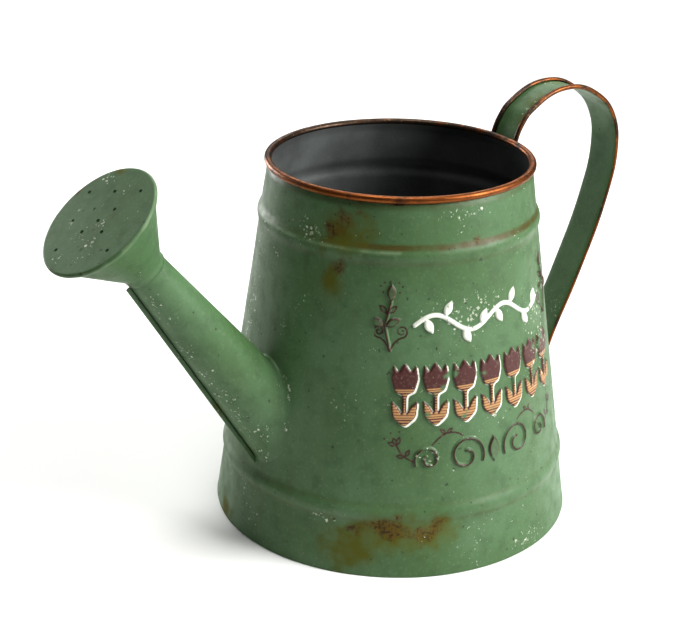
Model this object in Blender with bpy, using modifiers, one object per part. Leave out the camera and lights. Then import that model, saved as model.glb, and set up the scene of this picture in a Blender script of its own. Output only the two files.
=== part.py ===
"""A tapered sheet-metal watering can: rolled body, long spout with a rose, strap handle.

The can stands on z = 0. The spout points along -X, the handle lies along +X and the stamped
ornament faces -Y. Lengths are in metres.
"""
import math

import bmesh
import bpy
from mathutils import Matrix, Vector

# Sheet and fits
SHEET = 0.0005
FIT_GAP = 0.0003

# Body: a cone frustum between the foot and the centre of the rim curl
BASE_RADIUS = 0.088
RIM_RADIUS = 0.0624
RIM_HEIGHT = 0.1752
RIM_TUBE = 0.00175
RIM_NECK = 0.0034
HEM_HEIGHT = 0.0034
HEM_ROUND = 0.0003
BEAD_HEIGHTS = (0.031, 0.1505)
BEAD_WIDTH = 0.0124
BEAD_RELIEF = 0.0013
LAP_WIDTH = 0.0080
LAP_END_MARGIN = 0.0015
BODY_STEPS = 44

# Spout: a cone on an axis that crosses SPOUT_REACH from the can's axis at SPOUT_HEIGHT
SPOUT_REACH = 0.070
SPOUT_HEIGHT = 0.0571
SPOUT_ELEVATION = math.radians(53.1)
SPOUT_LENGTH = 0.1175
SPOUT_FOOT_RADIUS = 0.01835
SPOUT_TIP_RADIUS = 0.00935
SPOUT_ROOT_LENGTH = 0.030
SPOUT_STEPS = 32
FIN_HEIGHT = 0.0024
FIN_THICKNESS = 0.0010
FOOT_FLANGE_WIDTH = 0.0021
FOOT_FLANGE_THICKNESS = 0.0006

# Rose: slips over the spout's tip and droops a little
ROSE_ELEVATION = math.radians(51.0)
ROSE_GRIP = 0.0025
ROSE_LENGTH = 0.0332
ROSE_RADIUS = 0.0290
COLLAR_LENGTH = 0.0016
ROSE_SKIRT = 0.0026
ROSE_STEPS = 40
HOLE_RADIUS = 0.00085
HOLE_RINGS = (
    (0.0000, 1, 0.0),
    (0.0085, 4, math.radians(66)),
    (0.0156, 4, math.radians(21)),
    (0.0220, 4, math.radians(66)),
)

# Handle: a strip with both edges rolled outwards, seen from the side
STRAP_WIDTH = 0.0190
STRAP_HEM_RADIUS = 0.0012
FOOT_BOTTOM = 0.1585
FOOT_TOP = 0.1700
STRAP_ARCH = (
    (0.0693, 0.1822),
    (0.0752, 0.1886),
    (0.0974, 0.1965),
    (0.1191, 0.1897),
    (0.1311, 0.1763),
    (0.1342, 0.1591),
    (0.1292, 0.1347),
    (0.1123, 0.0939),
    (0.0962, 0.0612),
)
TAIL_RADIUS = 0.0081
TAIL_SWEEP = math.radians(205)
TAIL_DROP = 0.0030
TAIL_POINTS = 5

# Ornament, laid out on the wall around its front: a row of tulips, scrolls below, a vine above
ORNAMENT_AZIMUTH = math.radians(-92)
ORNAMENT_RELIEF = 0.0011
ORNAMENT_BOTTOM = 0.040
ORNAMENT_TOP = 0.141
TULIP_COUNT = 7
TULIP_PITCH = 0.0142
TULIP_HEIGHT = 0.0875
LINE_WIDTH = 0.0016
SCROLL_HEIGHT = 0.0570
SCROLL_RADIUS = 0.0095
SCROLL_SPREAD = 0.0150
SCROLL_TURNS = 1.3
SCROLL_START = math.radians(205)
SCROLL_SHRINK = 0.78
SCROLL_POINTS = 11
SIDE_SCROLL_RADIUS = 0.0065
SIDE_SCROLL_SPREAD = 0.0335
SIDE_SCROLL_TURNS = 1.2
DROP_LENGTH = 0.0130
DROP_WIDTH = 0.0060
VINE_HEIGHT = 0.1195
VINE_LENGTH = 0.0720
VINE_SWING = 0.0042
VINE_WAVES = 2.0
VINE_WIDTH = 0.0020
VINE_POINTS = 15
VINE_LEAVES = 8
LEAF_LIFT = math.radians(62)
LEAF_LENGTH = 0.0080
LEAF_WIDTH = 0.0040
SPRIG_SPREAD = 0.0480
SPRIG_HEIGHT = 0.1080
SPRIG_LENGTH = 0.0220
SPRIG_BEND = 0.0026
SPRIG_LEAF_LIFT = math.radians(25)
STROKE_END = 0.4

CUTTER_REACH = 0.004
SHARP_ANGLE = math.radians(35)


def wall_radius(height):
    """Outer radius of the plain cone at a height."""
    return BASE_RADIUS + (RIM_RADIUS - BASE_RADIUS) * height / RIM_HEIGHT


WALL_LEAN = math.atan((BASE_RADIUS - RIM_RADIUS) / RIM_HEIGHT)
WALL_TOP = RIM_HEIGHT - RIM_NECK
ROSE_SEAT = SPOUT_LENGTH - ROSE_GRIP


def bead_points(offset, bottom, top):
    """Profile of the wall from bottom to top, its beads raised, moved out by offset."""
    points = [(wall_radius(bottom) + offset, bottom)]
    for centre in BEAD_HEIGHTS:
        for part in (-1.0, -0.5, 0.0, 0.5, 1.0):
            height = centre + part * BEAD_WIDTH / 2
            relief = BEAD_RELIEF * (1 - part * part)
            points.append((wall_radius(height) + relief + offset, height))
    points.append((wall_radius(top) + offset, top))
    return points


def tidy_scene():
    for item in list(bpy.data.objects):
        bpy.data.objects.remove(item)
    parts = bpy.data.collections.new("watering_can")
    cutters = bpy.data.collections.new("cutters")
    bpy.context.scene.collection.children.link(parts)
    bpy.context.scene.collection.children.link(cutters)
    return parts, cutters


def finish(name, colour, roughness, metallic):
    paint = bpy.data.materials.new(name)
    paint.use_nodes = True
    shader = paint.node_tree.nodes["Principled BSDF"]
    shader.inputs["Base Color"].default_value = (*colour, 1.0)
    shader.inputs["Roughness"].default_value = roughness
    shader.inputs["Metallic"].default_value = metallic
    return paint


def add_object(name, data, collection, parent):
    item = bpy.data.objects.new(name, data)
    collection.objects.link(item)
    item.parent = parent
    return item


def hide_cutter(item):
    item.hide_render = True
    item.display_type = "WIRE"
    return item


def turned(name, profile, steps, closed, collection, parent):
    """Revolve a profile of (radius, height) points about the object's Z axis."""
    mesh = bpy.data.meshes.new(name)
    count = len(profile)
    edges = [(i, i + 1) for i in range(count - 1)]
    if closed:
        edges.append((count - 1, 0))
    mesh.from_pydata([(radius, 0.0, height) for radius, height in profile], edges, [])
    item = add_object(name, mesh, collection, parent)
    screw = item.modifiers.new("turn", "SCREW")
    screw.steps = steps
    screw.render_steps = steps
    screw.use_merge_vertices = True
    screw.merge_threshold = 0.00001
    return item


def thicken(item):
    shell = item.modifiers.new("sheet", "SOLIDIFY")
    shell.thickness = SHEET
    shell.offset = 0.0
    shell.use_even_offset = True


def combine(item, tool, operation):
    boolean = item.modifiers.new(operation.lower(), "BOOLEAN")
    boolean.object = tool
    boolean.operation = operation
    boolean.solver = "EXACT"
    return boolean


def flat_mesh(name, outline, half_depth):
    """Mesh of a flat outline, given a depth on both sides of its plane."""
    curve = bpy.data.curves.new(name, "CURVE")
    curve.dimensions = "2D"
    curve.fill_mode = "BOTH"
    curve.extrude = half_depth
    spline = curve.splines.new("POLY")
    spline.points.add(len(outline) - 1)
    for point, (x, y) in zip(spline.points, outline):
        point.co = (x, y, 0.0, 1.0)
    spline.use_cyclic_u = True
    carrier = bpy.data.objects.new(name, curve)
    bpy.context.scene.collection.objects.link(carrier)
    graph = bpy.context.evaluated_depsgraph_get()
    mesh = bpy.data.meshes.new_from_object(carrier.evaluated_get(graph))
    bpy.data.objects.remove(carrier)
    bpy.data.curves.remove(curve)
    work = bmesh.new()
    work.from_mesh(mesh)
    bmesh.ops.remove_doubles(work, verts=work.verts, dist=0.00001)
    bmesh.ops.recalc_face_normals(work, faces=work.faces)
    work.to_mesh(mesh)
    work.free()
    mesh.name = name
    return mesh


def edge_smoothing():
    """Node group that shades a finished piece smooth and keeps its real edges sharp."""
    group = bpy.data.node_groups.new("edge_smoothing", "GeometryNodeTree")
    group.interface.new_socket("Geometry", in_out="INPUT", socket_type="NodeSocketGeometry")
    group.interface.new_socket("Geometry", in_out="OUTPUT", socket_type="NodeSocketGeometry")
    start = group.nodes.new("NodeGroupInput")
    bend = group.nodes.new("GeometryNodeInputMeshEdgeAngle")
    sharp = group.nodes.new("FunctionNodeCompare")
    sharp.operation = "GREATER_THAN"
    sharp.inputs["B"].default_value = SHARP_ANGLE
    faces = group.nodes.new("GeometryNodeSetShadeSmooth")
    edges = group.nodes.new("GeometryNodeSetShadeSmooth")
    edges.domain = "EDGE"
    edges.inputs["Shade Smooth"].default_value = False
    end = group.nodes.new("NodeGroupOutput")
    group.links.new(start.outputs["Geometry"], faces.inputs["Geometry"])
    group.links.new(faces.outputs["Geometry"], edges.inputs["Geometry"])
    group.links.new(bend.outputs["Unsigned Angle"], sharp.inputs["A"])
    group.links.new(sharp.outputs["Result"], edges.inputs["Selection"])
    group.links.new(edges.outputs["Geometry"], end.inputs["Geometry"])
    return group


def curl_points():
    """Rim: the sheet leaves the wall inwards and rolls over to the outside."""
    roll = RIM_TUBE - SHEET / 2
    points = []
    for step in range(7):
        angle = math.radians(200 - 45 * step)
        points.append((RIM_RADIUS + roll * math.cos(angle), RIM_HEIGHT + roll * math.sin(angle)))
    return points


def make_body_wall(parts, cutters, can, tube_bore):
    half = SHEET / 2
    hem_depth = 2 * (SHEET + FIT_GAP)
    outer_foot = wall_radius(0) - half
    profile = [
        (wall_radius(HEM_HEIGHT) - half - hem_depth, HEM_HEIGHT),
        (outer_foot - hem_depth, half + HEM_ROUND),
        (outer_foot - hem_depth + HEM_ROUND, half),
        (outer_foot - HEM_ROUND, half),
    ]
    profile += bead_points(-half, half + HEM_ROUND, WALL_TOP)
    profile += curl_points()
    wall = turned("body_wall", profile[::-1], BODY_STEPS, False, parts, can)
    thicken(wall)
    ornament = make_ornament(cutters, can)
    combine(wall, ornament, "UNION")
    combine(wall, make_lap(cutters, can), "UNION")
    combine(wall, tube_bore, "DIFFERENCE")
    return wall


def make_lap(cutters, can):
    """Side seam: one end of the sheet laps over the other, behind the handle."""
    top = WALL_TOP - LAP_END_MARGIN
    bottom = HEM_HEIGHT + LAP_END_MARGIN
    outside = bead_points(SHEET, bottom, top)[::-1]
    inside = bead_points(-SHEET / 2, bottom, top)
    lap = turned("lap_seam", outside + inside, BODY_STEPS, True, cutters, can)
    block = bmesh.new()
    size = Matrix.Diagonal((BASE_RADIUS, LAP_WIDTH, 2 * RIM_HEIGHT, 1.0))
    bmesh.ops.create_cube(block, size=1.0, matrix=Matrix.Translation((BASE_RADIUS, 0.0, 0.0)) @ size)
    mesh = bpy.data.meshes.new("lap_block")
    block.to_mesh(mesh)
    block.free()
    strip = hide_cutter(add_object("lap_block", mesh, cutters, can))
    combine(hide_cutter(lap), strip, "INTERSECT")
    return lap


def make_bottom_disc(parts, can):
    half = SHEET / 2
    floor = HEM_HEIGHT + FIT_GAP + half
    inset = half + FIT_GAP + SHEET
    lip = SHEET + FIT_GAP
    profile = [
        (0.0, floor),
        (wall_radius(floor) - inset, floor),
        (wall_radius(lip) - inset, lip),
    ]
    disc = turned("bottom_disc", profile, BODY_STEPS, False, parts, can)
    thicken(disc)
    return disc


def spout_radius(along):
    """Outer radius of the spout's cone at a distance along its axis."""
    return SPOUT_FOOT_RADIUS + (SPOUT_TIP_RADIUS - SPOUT_FOOT_RADIUS) * along / SPOUT_LENGTH


def spout_cone(name, offset, start, end, collection, parent):
    """Solid cone that follows the spout, moved out from its outer face by offset."""
    profile = [
        (0.0, end),
        (spout_radius(end) + offset, end),
        (spout_radius(start) + offset, start),
        (0.0, start),
    ]
    return turned(name, profile, SPOUT_STEPS, False, collection, parent)


ROSE_DROOP = SPOUT_ELEVATION - ROSE_ELEVATION


def collar_radius():
    """Middle of the collar's sheet, clear of the spout although the rose droops."""
    low = ROSE_SEAT - COLLAR_LENGTH / 2
    return spout_radius(low) + FIT_GAP + COLLAR_LENGTH / 2 * math.sin(ROSE_DROOP) + SHEET / 2


def make_spout(parts, cutters, can, spout_frame):
    half = SHEET / 2
    root = -SPOUT_ROOT_LENGTH
    profile = [(spout_radius(at) - half, at) for at in (SPOUT_LENGTH, root)]
    tube = turned("spout_tube", profile, SPOUT_STEPS, False, parts, spout_frame)
    thicken(tube)

    dip = (collar_radius() + SHEET / 2) * math.sin(ROSE_DROOP)
    fin_end = ROSE_SEAT - COLLAR_LENGTH / 2 - FIT_GAP - dip
    outline = [
        (-spout_radius(fin_end) + half, fin_end),
        (-spout_radius(root) + half, root),
        (-spout_radius(root) - FIN_HEIGHT, root),
        (-spout_radius(fin_end) - FIN_HEIGHT, fin_end),
    ]
    fin_mesh = flat_mesh("fin", outline, FIN_THICKNESS / 2)
    fin = hide_cutter(add_object("fin", fin_mesh, cutters, spout_frame))
    fin.rotation_euler = (math.radians(90), 0.0, 0.0)
    combine(tube, fin, "UNION")

    inside = [(0.0, RIM_HEIGHT)]
    inside += bead_points(FIT_GAP, -SHEET, RIM_HEIGHT)[::-1]
    inside += [(0.0, -SHEET)]
    clearance = turned("wall_clearance", inside, BODY_STEPS, False, cutters, can)
    combine(tube, hide_cutter(clearance), "DIFFERENCE")

    flange = spout_cone("foot_flange", FOOT_FLANGE_WIDTH, root, SPOUT_LENGTH / 2, cutters, spout_frame)
    outside = bead_points(FIT_GAP + FOOT_FLANGE_THICKNESS, HEM_HEIGHT, WALL_TOP)[::-1]
    seat = bead_points(FIT_GAP, HEM_HEIGHT, WALL_TOP)
    sleeve = turned("flange_sleeve", outside + seat, BODY_STEPS, True, cutters, can)
    combine(hide_cutter(flange), hide_cutter(sleeve), "INTERSECT")
    flange_bore = spout_cone("flange_bore", -half, root, SPOUT_LENGTH / 2, cutters, spout_frame)
    combine(flange, hide_cutter(flange_bore), "DIFFERENCE")
    combine(tube, flange, "UNION")
    return tube


def make_rose(parts, cutters, rose_frame):
    half = SHEET / 2
    collar = COLLAR_LENGTH / 2
    neck = collar_radius()
    slope = (ROSE_RADIUS - neck) / (ROSE_LENGTH - collar)
    face = ROSE_LENGTH - half
    edge = ROSE_RADIUS - half
    mouth = face - SHEET - FIT_GAP
    under_skirt = (SHEET + FIT_GAP) * math.sqrt(1 + slope * slope)
    mouth_radius = edge - slope * (face - HEM_ROUND - mouth) - under_skirt
    profile = [
        (mouth_radius, mouth),
        (neck, mouth - (mouth_radius - neck) / slope),
        (neck, -collar),
    ]
    cone = turned("rose_cone", profile, ROSE_STEPS, False, parts, rose_frame)
    thicken(cone)

    plate_profile = [
        (0.0, face),
        (edge - HEM_ROUND, face),
        (edge, face - HEM_ROUND),
        (edge - slope * ROSE_SKIRT, face - HEM_ROUND - ROSE_SKIRT),
    ]
    plate = turned("rose_face", plate_profile, ROSE_STEPS, False, parts, rose_frame)
    thicken(plate)
    combine(plate, make_hole_pins(cutters, rose_frame), "DIFFERENCE")
    return cone, plate


def make_hole_pins(cutters, rose_frame):
    pins = bmesh.new()
    for radius, count, turn in HOLE_RINGS:
        for index in range(count):
            angle = turn + index * math.tau / count
            place = Matrix.Translation((radius * math.cos(angle), radius * math.sin(angle), ROSE_LENGTH))
            bmesh.ops.create_cone(
                pins,
                cap_ends=True,
                segments=8,
                radius1=HOLE_RADIUS,
                radius2=HOLE_RADIUS,
                depth=CUTTER_REACH,
                matrix=place,
            )
    mesh = bpy.data.meshes.new("hole_pins")
    pins.to_mesh(mesh)
    pins.free()
    return hide_cutter(add_object("hole_pins", mesh, cutters, rose_frame))


def strap_section():
    """Open section of the strip: y across it, with the rolled edges on the loop's outer side, at -x."""
    roll = STRAP_HEM_RADIUS - SHEET / 2
    flat = STRAP_WIDTH / 2 - STRAP_HEM_RADIUS
    right = []
    for step in range(6):
        angle = math.radians(-90 + 54 * step)
        right.append((-roll - roll * math.sin(angle), flat + roll * math.cos(angle)))
    left = [(x, -y) for x, y in reversed(right)]
    return left + right


def seat_of_strap(radius):
    """Distance of the strip's web from the can's axis where its rolled edges lie on a round wall."""
    flat = STRAP_WIDTH / 2 - STRAP_HEM_RADIUS
    reach = radius + FIT_GAP + STRAP_HEM_RADIUS
    return math.sqrt(reach * reach - flat * flat) + STRAP_HEM_RADIUS - SHEET / 2


def strap_path():
    """Centre line of the strip, as (distance from the can's axis, height)."""
    points = [(seat_of_strap(wall_radius(height)), height) for height in (FOOT_BOTTOM, FOOT_TOP)]
    points.append((seat_of_strap(RIM_RADIUS + RIM_TUBE), RIM_HEIGHT))
    points += STRAP_ARCH
    touch = BEAD_HEIGHTS[0]
    lap_face = wall_radius(touch) + BEAD_RELIEF + SHEET
    tail_centre = lap_face + FIT_GAP + SHEET / 2 + TAIL_RADIUS
    for step in range(TAIL_POINTS):
        angle = math.pi - WALL_LEAN + TAIL_SWEEP * step / (TAIL_POINTS - 1)
        x = tail_centre + TAIL_RADIUS * math.cos(angle)
        points.append((x, touch - TAIL_DROP + TAIL_RADIUS * math.sin(angle)))
    return points


def make_handle(parts, cutters, can):
    section = bpy.data.curves.new("strap_section", "CURVE")
    section.dimensions = "2D"
    section.fill_mode = "NONE"
    outline = section.splines.new("POLY")
    rim = strap_section()
    outline.points.add(len(rim) - 1)
    for point, (x, y) in zip(outline.points, rim):
        point.co = (x, y, 0.0, 1.0)
    section_object = hide_cutter(add_object("strap_section", section, cutters, can))

    path = bpy.data.curves.new("strap_path", "CURVE")
    path.dimensions = "2D"
    path.fill_mode = "NONE"
    path.resolution_u = 2
    path.bevel_mode = "OBJECT"
    path.bevel_object = section_object
    line = strap_path()
    route = path.splines.new("BEZIER")
    route.bezier_points.add(len(line) - 1)
    for point, (x, y) in zip(route.bezier_points, line):
        point.co = (x, y, 0.0)
        point.handle_left_type = "AUTO"
        point.handle_right_type = "AUTO"
    carrier = add_object("strap_path", path, cutters, None)
    carrier.rotation_euler = (math.radians(90), 0.0, 0.0)
    graph = bpy.context.evaluated_depsgraph_get()
    mesh = bpy.data.meshes.new_from_object(carrier.evaluated_get(graph))
    mesh.name = "handle_strap"
    mesh.transform(carrier.matrix_world)
    bpy.data.objects.remove(carrier)
    strap = add_object("handle_strap", mesh, parts, can)
    thicken(strap)
    return strap


def tulip_outline():
    """Cup with three petals, a stem and two leaves, mirrored about its middle."""
    half = (
        (0.0000, 0.0150),
        (0.0030, 0.0105),
        (0.0052, 0.0140),
        (0.0062, 0.0075),
        (0.0044, 0.0016),
        (0.0009, 0.0000),
        (0.0009, -0.0090),
        (0.0030, -0.0052),
        (0.0060, -0.0026),
        (0.0052, -0.0105),
        (0.0000, -0.0150),
    )
    return list(half) + [(-x, y) for x, y in reversed(half[1:-1])]


def leaf_outline(length, width):
    """Pointed oval from the origin along +X."""
    side = [(length * t, width / 2 * math.sin(math.pi * t)) for t in (0.0, 0.33, 0.67, 1.0)]
    return side + [(x, -y) for x, y in reversed(side[1:-1])]


def stroke_outline(centres, width):
    """Closed outline of a line of one width, with narrow ends."""
    left = []
    right = []
    last = len(centres) - 1
    for index, centre in enumerate(centres):
        ahead = Vector(centres[min(index + 1, last)]) - Vector(centres[max(index - 1, 0)])
        across = Vector((-ahead.y, ahead.x)).normalized() * width / 2
        if index in (0, last):
            across = across * STROKE_END
        left.append(tuple(Vector(centre) + across))
        right.append(tuple(Vector(centre) - across))
    return left + right[::-1]


def wrap_on_wall(mesh, along, height):
    """Roll a flat mesh on to the wall: x runs along it, y up it and z straight out."""
    for vertex in mesh.vertices:
        azimuth = ORNAMENT_AZIMUTH + (along + vertex.co.x) / wall_radius(height)
        level = height + vertex.co.y
        radius = wall_radius(level) + vertex.co.z
        vertex.co = (radius * math.cos(azimuth), radius * math.sin(azimuth), level)


def scroll_centres(side, size, turns):
    """Spiral that opens towards the middle of the ornament."""
    points = []
    for step in range(SCROLL_POINTS):
        t = step / (SCROLL_POINTS - 1)
        angle = SCROLL_START - math.tau * turns * t
        radius = size * (1 - SCROLL_SHRINK * t)
        points.append((side * radius * math.cos(angle), radius * math.sin(angle)))
    return points


def vine_point(along):
    return (along, VINE_SWING * math.sin(math.tau * VINE_WAVES * along / VINE_LENGTH))


def turned_outline(outline, angle, start=(0.0, 0.0)):
    turn = Matrix.Rotation(angle, 2)
    return [tuple(turn @ Vector(point) + Vector(start)) for point in outline]


def ornament_outlines():
    """Every figure as (outline, place along the wall, height)."""
    figures = []
    middle = (TULIP_COUNT - 1) / 2
    for index in range(TULIP_COUNT):
        figures.append((tulip_outline(), (index - middle) * TULIP_PITCH, TULIP_HEIGHT))

    drop = turned_outline(leaf_outline(DROP_LENGTH, DROP_WIDTH), math.pi / 2, (0.0, -DROP_LENGTH / 2))
    figures.append((drop, 0.0, SCROLL_HEIGHT))
    for side in (-1, 1):
        scroll = stroke_outline(scroll_centres(side, SCROLL_RADIUS, SCROLL_TURNS), LINE_WIDTH)
        figures.append((scroll, side * SCROLL_SPREAD, SCROLL_HEIGHT))
        centres = scroll_centres(-side, SIDE_SCROLL_RADIUS, SIDE_SCROLL_TURNS)
        figures.append((stroke_outline(centres, LINE_WIDTH), side * SIDE_SCROLL_SPREAD, SCROLL_HEIGHT))

    vine = [vine_point(VINE_LENGTH * (step / (VINE_POINTS - 1) - 0.5)) for step in range(VINE_POINTS)]
    figures.append((stroke_outline(vine, VINE_WIDTH), 0.0, VINE_HEIGHT))
    leaf = leaf_outline(LEAF_LENGTH, LEAF_WIDTH)
    for index in range(VINE_LEAVES):
        x, y = vine_point(VINE_LENGTH * ((index + 0.5) / VINE_LEAVES - 0.5))
        lift = LEAF_LIFT if index % 2 else -LEAF_LIFT
        figures.append((turned_outline(leaf, lift, (0.0, y)), x, VINE_HEIGHT))

    for side in (-1, 1):
        along = side * SPRIG_SPREAD
        stem = [(0.0, 0.0), (side * SPRIG_BEND, SPRIG_LENGTH / 2), (0.0, SPRIG_LENGTH)]
        figures.append((stroke_outline(stem, LINE_WIDTH), along, SPRIG_HEIGHT))
        figures.append((turned_outline(leaf, SPRIG_LEAF_LIFT, stem[1]), along, SPRIG_HEIGHT))
        figures.append((turned_outline(leaf, math.pi - SPRIG_LEAF_LIFT, stem[1]), along, SPRIG_HEIGHT))
        figures.append((turned_outline(leaf, math.pi / 2, stem[2]), along, SPRIG_HEIGHT))
    return figures


def make_ornament(cutters, can):
    prisms = bmesh.new()
    for outline, along, height in ornament_outlines():
        stamp = flat_mesh("stamp", outline, CUTTER_REACH)
        wrap_on_wall(stamp, along, height)
        prisms.from_mesh(stamp)
        bpy.data.meshes.remove(stamp)
    bmesh.ops.triangulate(prisms, faces=prisms.faces)
    mesh = bpy.data.meshes.new("ornament")
    prisms.to_mesh(mesh)
    prisms.free()
    ornament = hide_cutter(add_object("ornament", mesh, cutters, can))
    profile = [
        (wall_radius(ORNAMENT_TOP) + ORNAMENT_RELIEF, ORNAMENT_TOP),
        (wall_radius(ORNAMENT_BOTTOM) + ORNAMENT_RELIEF, ORNAMENT_BOTTOM),
        (wall_radius(ORNAMENT_BOTTOM) - SHEET / 2, ORNAMENT_BOTTOM),
        (wall_radius(ORNAMENT_TOP) - SHEET / 2, ORNAMENT_TOP),
    ]
    sleeve = turned("raised_sleeve", profile, BODY_STEPS, True, cutters, can)
    raise_to = combine(ornament, hide_cutter(sleeve), "INTERSECT")
    raise_to.use_self = True
    return ornament


def build():
    parts, cutters = tidy_scene()
    spout_reach = SPOUT_REACH + ROSE_SEAT * math.cos(SPOUT_ELEVATION)
    rose_reach = spout_reach + ROSE_LENGTH * math.cos(ROSE_ELEVATION)
    rose_reach += ROSE_RADIUS * math.sin(ROSE_ELEVATION)
    handle_reach = max(x for x, _ in STRAP_ARCH) + 2 * STRAP_HEM_RADIUS - SHEET / 2

    can = add_object("can_axis", None, parts, None)
    can.location = ((rose_reach - handle_reach) / 2, 0.0, 0.0)
    spout_frame = add_object("spout_axis", None, parts, can)
    spout_frame.location = (-SPOUT_REACH, 0.0, SPOUT_HEIGHT)
    spout_frame.rotation_euler = (0.0, SPOUT_ELEVATION - math.pi / 2, 0.0)
    rose_frame = add_object("rose_axis", None, parts, spout_frame)
    rose_frame.location = (0.0, 0.0, ROSE_SEAT)
    rose_frame.rotation_euler = (0.0, -ROSE_DROOP, 0.0)

    reach = SPOUT_ROOT_LENGTH
    tube_bore = spout_cone("tube_bore", -SHEET, -reach / 2, reach, cutters, spout_frame)
    wall = make_body_wall(parts, cutters, can, hide_cutter(tube_bore))
    disc = make_bottom_disc(parts, can)
    tube = make_spout(parts, cutters, can, spout_frame)
    cone, plate = make_rose(parts, cutters, rose_frame)
    strap = make_handle(parts, cutters, can)

    green = finish("green_paint", (0.100, 0.180, 0.095), 0.5, 0.0)
    dark_green = finish("shaded_green_paint", (0.070, 0.130, 0.075), 0.55, 0.0)
    smoothing = edge_smoothing()
    for item in (wall, tube, cone, plate, strap):
        item.data.materials.append(green)
    disc.data.materials.append(dark_green)
    for item in (wall, disc, tube, cone, plate, strap):
        item.modifiers.new("edges", "NODES").node_group = smoothing


build()
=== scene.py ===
"""The looks of a weathered sheet-metal watering can, in metres, around its fixed frame."""

from math import atan, atan2, cos, hypot, pi, radians, sin, sqrt, tau

import bmesh
import bpy
import numpy as np
from mathutils import Matrix, Vector, noise


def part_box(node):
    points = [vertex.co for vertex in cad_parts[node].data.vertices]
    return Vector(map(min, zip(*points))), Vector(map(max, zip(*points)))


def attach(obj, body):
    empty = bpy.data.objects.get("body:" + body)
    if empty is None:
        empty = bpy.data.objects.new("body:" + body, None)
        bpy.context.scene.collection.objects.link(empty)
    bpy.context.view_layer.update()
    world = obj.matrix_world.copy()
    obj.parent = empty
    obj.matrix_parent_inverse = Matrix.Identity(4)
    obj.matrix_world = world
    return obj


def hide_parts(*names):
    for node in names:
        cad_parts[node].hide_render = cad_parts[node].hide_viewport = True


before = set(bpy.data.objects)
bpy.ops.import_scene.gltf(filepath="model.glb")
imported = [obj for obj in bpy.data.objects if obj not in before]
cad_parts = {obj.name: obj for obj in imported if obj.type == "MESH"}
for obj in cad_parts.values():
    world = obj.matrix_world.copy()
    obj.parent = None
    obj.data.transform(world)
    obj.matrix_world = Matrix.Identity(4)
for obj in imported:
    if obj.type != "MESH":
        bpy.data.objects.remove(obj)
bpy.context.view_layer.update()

# Can wall: one tapered sheet of steel, 0.5 mm thick, rolled into a cone and sprayed green. It has
# two swaged beads, a folded hem at the foot and a rim curled outwards over itself, and its two
# ends lap behind the handle. The spout stands over a hole in it.
SHEET = 0.0005
FIT_GAP = 0.0003
BASE_RADIUS = 0.088
RIM_RADIUS = 0.0624
RIM_HEIGHT = 0.1752
RIM_TUBE = 0.00175
RIM_NECK = 0.0034
HEM_HEIGHT = 0.0034
HEM_ROUND = 0.0003
LOW_BEAD = 0.0310
HIGH_BEAD = 0.1505
BEAD_WIDTH = 0.0124
BEAD_RELIEF = 0.0013
BEAD_SHARPNESS = 1.3
BEAD_STEPS = 18
BEAD_FOOT = 0.0038
LAP_WIDTH = 0.0080
LAP_END_MARGIN = 0.0015
LAP_BEVEL = 0.0003
WALL_COLUMNS = 288
WALL_SPACING = 0.0019
BEAD_SPACING = 0.0007
BORE_COLUMNS = 96
BORE_REACH = (-0.015, 0.030)
DENT_SIZE = 0.034
DENT_DEPTH = 0.00030
DENT_RIPPLE = 2.7
DIRT_LINE = 0.1541
LIT_AND_RUBBED_CREST = 0.1520
SHARP_EDGE = radians(40)

disc_low, disc_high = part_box("bottom_disc")
AXIS_X = (disc_low.x + disc_high.x) / 2
WALL_LEAN = atan((BASE_RADIUS - RIM_RADIUS) / RIM_HEIGHT)


def wall_radius(height):
    return BASE_RADIUS + (RIM_RADIUS - BASE_RADIUS) * height / RIM_HEIGHT


def bead_relief(height):
    """How far the swaged beads stand out of the plain cone at each height."""
    relief = 0.0
    for centre in (LOW_BEAD, HIGH_BEAD):
        part = np.clip((np.asarray(height) - centre) * 2 / BEAD_WIDTH, -1.0, 1.0)
        relief = relief + BEAD_RELIEF * (0.5 + 0.5 * np.cos(pi * part)) ** BEAD_SHARPNESS
    return relief


def dent(x, y, z):
    """Shallow inward waves of handled sheet metal at a point."""
    spot = Vector((x, y, z)) / DENT_SIZE
    return DENT_DEPTH * (0.7 * noise.noise(spot) + 0.3 * noise.noise(spot * DENT_RIPPLE) - 0.6)


def arc(centre, radius, start, end, steps):
    """Points on an arc in a (radius, height) profile, angles in degrees."""
    angles = np.radians(np.linspace(start, end, steps))
    return [(centre[0] + radius * cos(a), centre[1] + radius * sin(a)) for a in angles]


def thick_loop(line, thickness):
    """Closed outline of a sheet that follows a line: its right-hand side, then back on its left."""
    line = np.array(line)
    ahead = np.gradient(line, axis=0)
    ahead /= np.linalg.norm(ahead, axis=1, keepdims=True)
    side = np.stack([ahead[:, 1], -ahead[:, 0]], axis=1) * thickness / 2
    return np.vstack([line + side, (line - side)[::-1]])


def place(name, data):
    item = bpy.data.objects.new(name, data)
    bpy.context.scene.collection.objects.link(item)
    return item


def lattice(name, points, loop_rows=False, loop_columns=True):
    """Piece of quads over rows and columns of points, joined round where it closes."""
    rows, columns = points.shape[:2]
    index = np.arange(rows * columns).reshape(rows, columns)
    if loop_columns:
        index = np.hstack([index, index[:, :1]])
    if loop_rows:
        index = np.vstack([index, index[:1]])
    corners = (index[:-1, :-1], index[:-1, 1:], index[1:, 1:], index[1:, :-1])
    faces = np.stack(corners, axis=-1).reshape(-1, 4)
    mesh = bpy.data.meshes.new(name)
    mesh.from_pydata(points.reshape(-1, 3).tolist(), [], faces.tolist())
    mesh.shade_smooth()
    return place(name, mesh)


def revolve(profile, columns):
    """Rows of points from turning (radius, height) pairs about Z."""
    angles = np.arange(columns) * tau / columns
    radius = profile[:, :1]
    height = np.repeat(profile[:, 1:], columns, axis=1)
    return np.stack([radius * np.cos(angles), radius * np.sin(angles), height], axis=-1)


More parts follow.
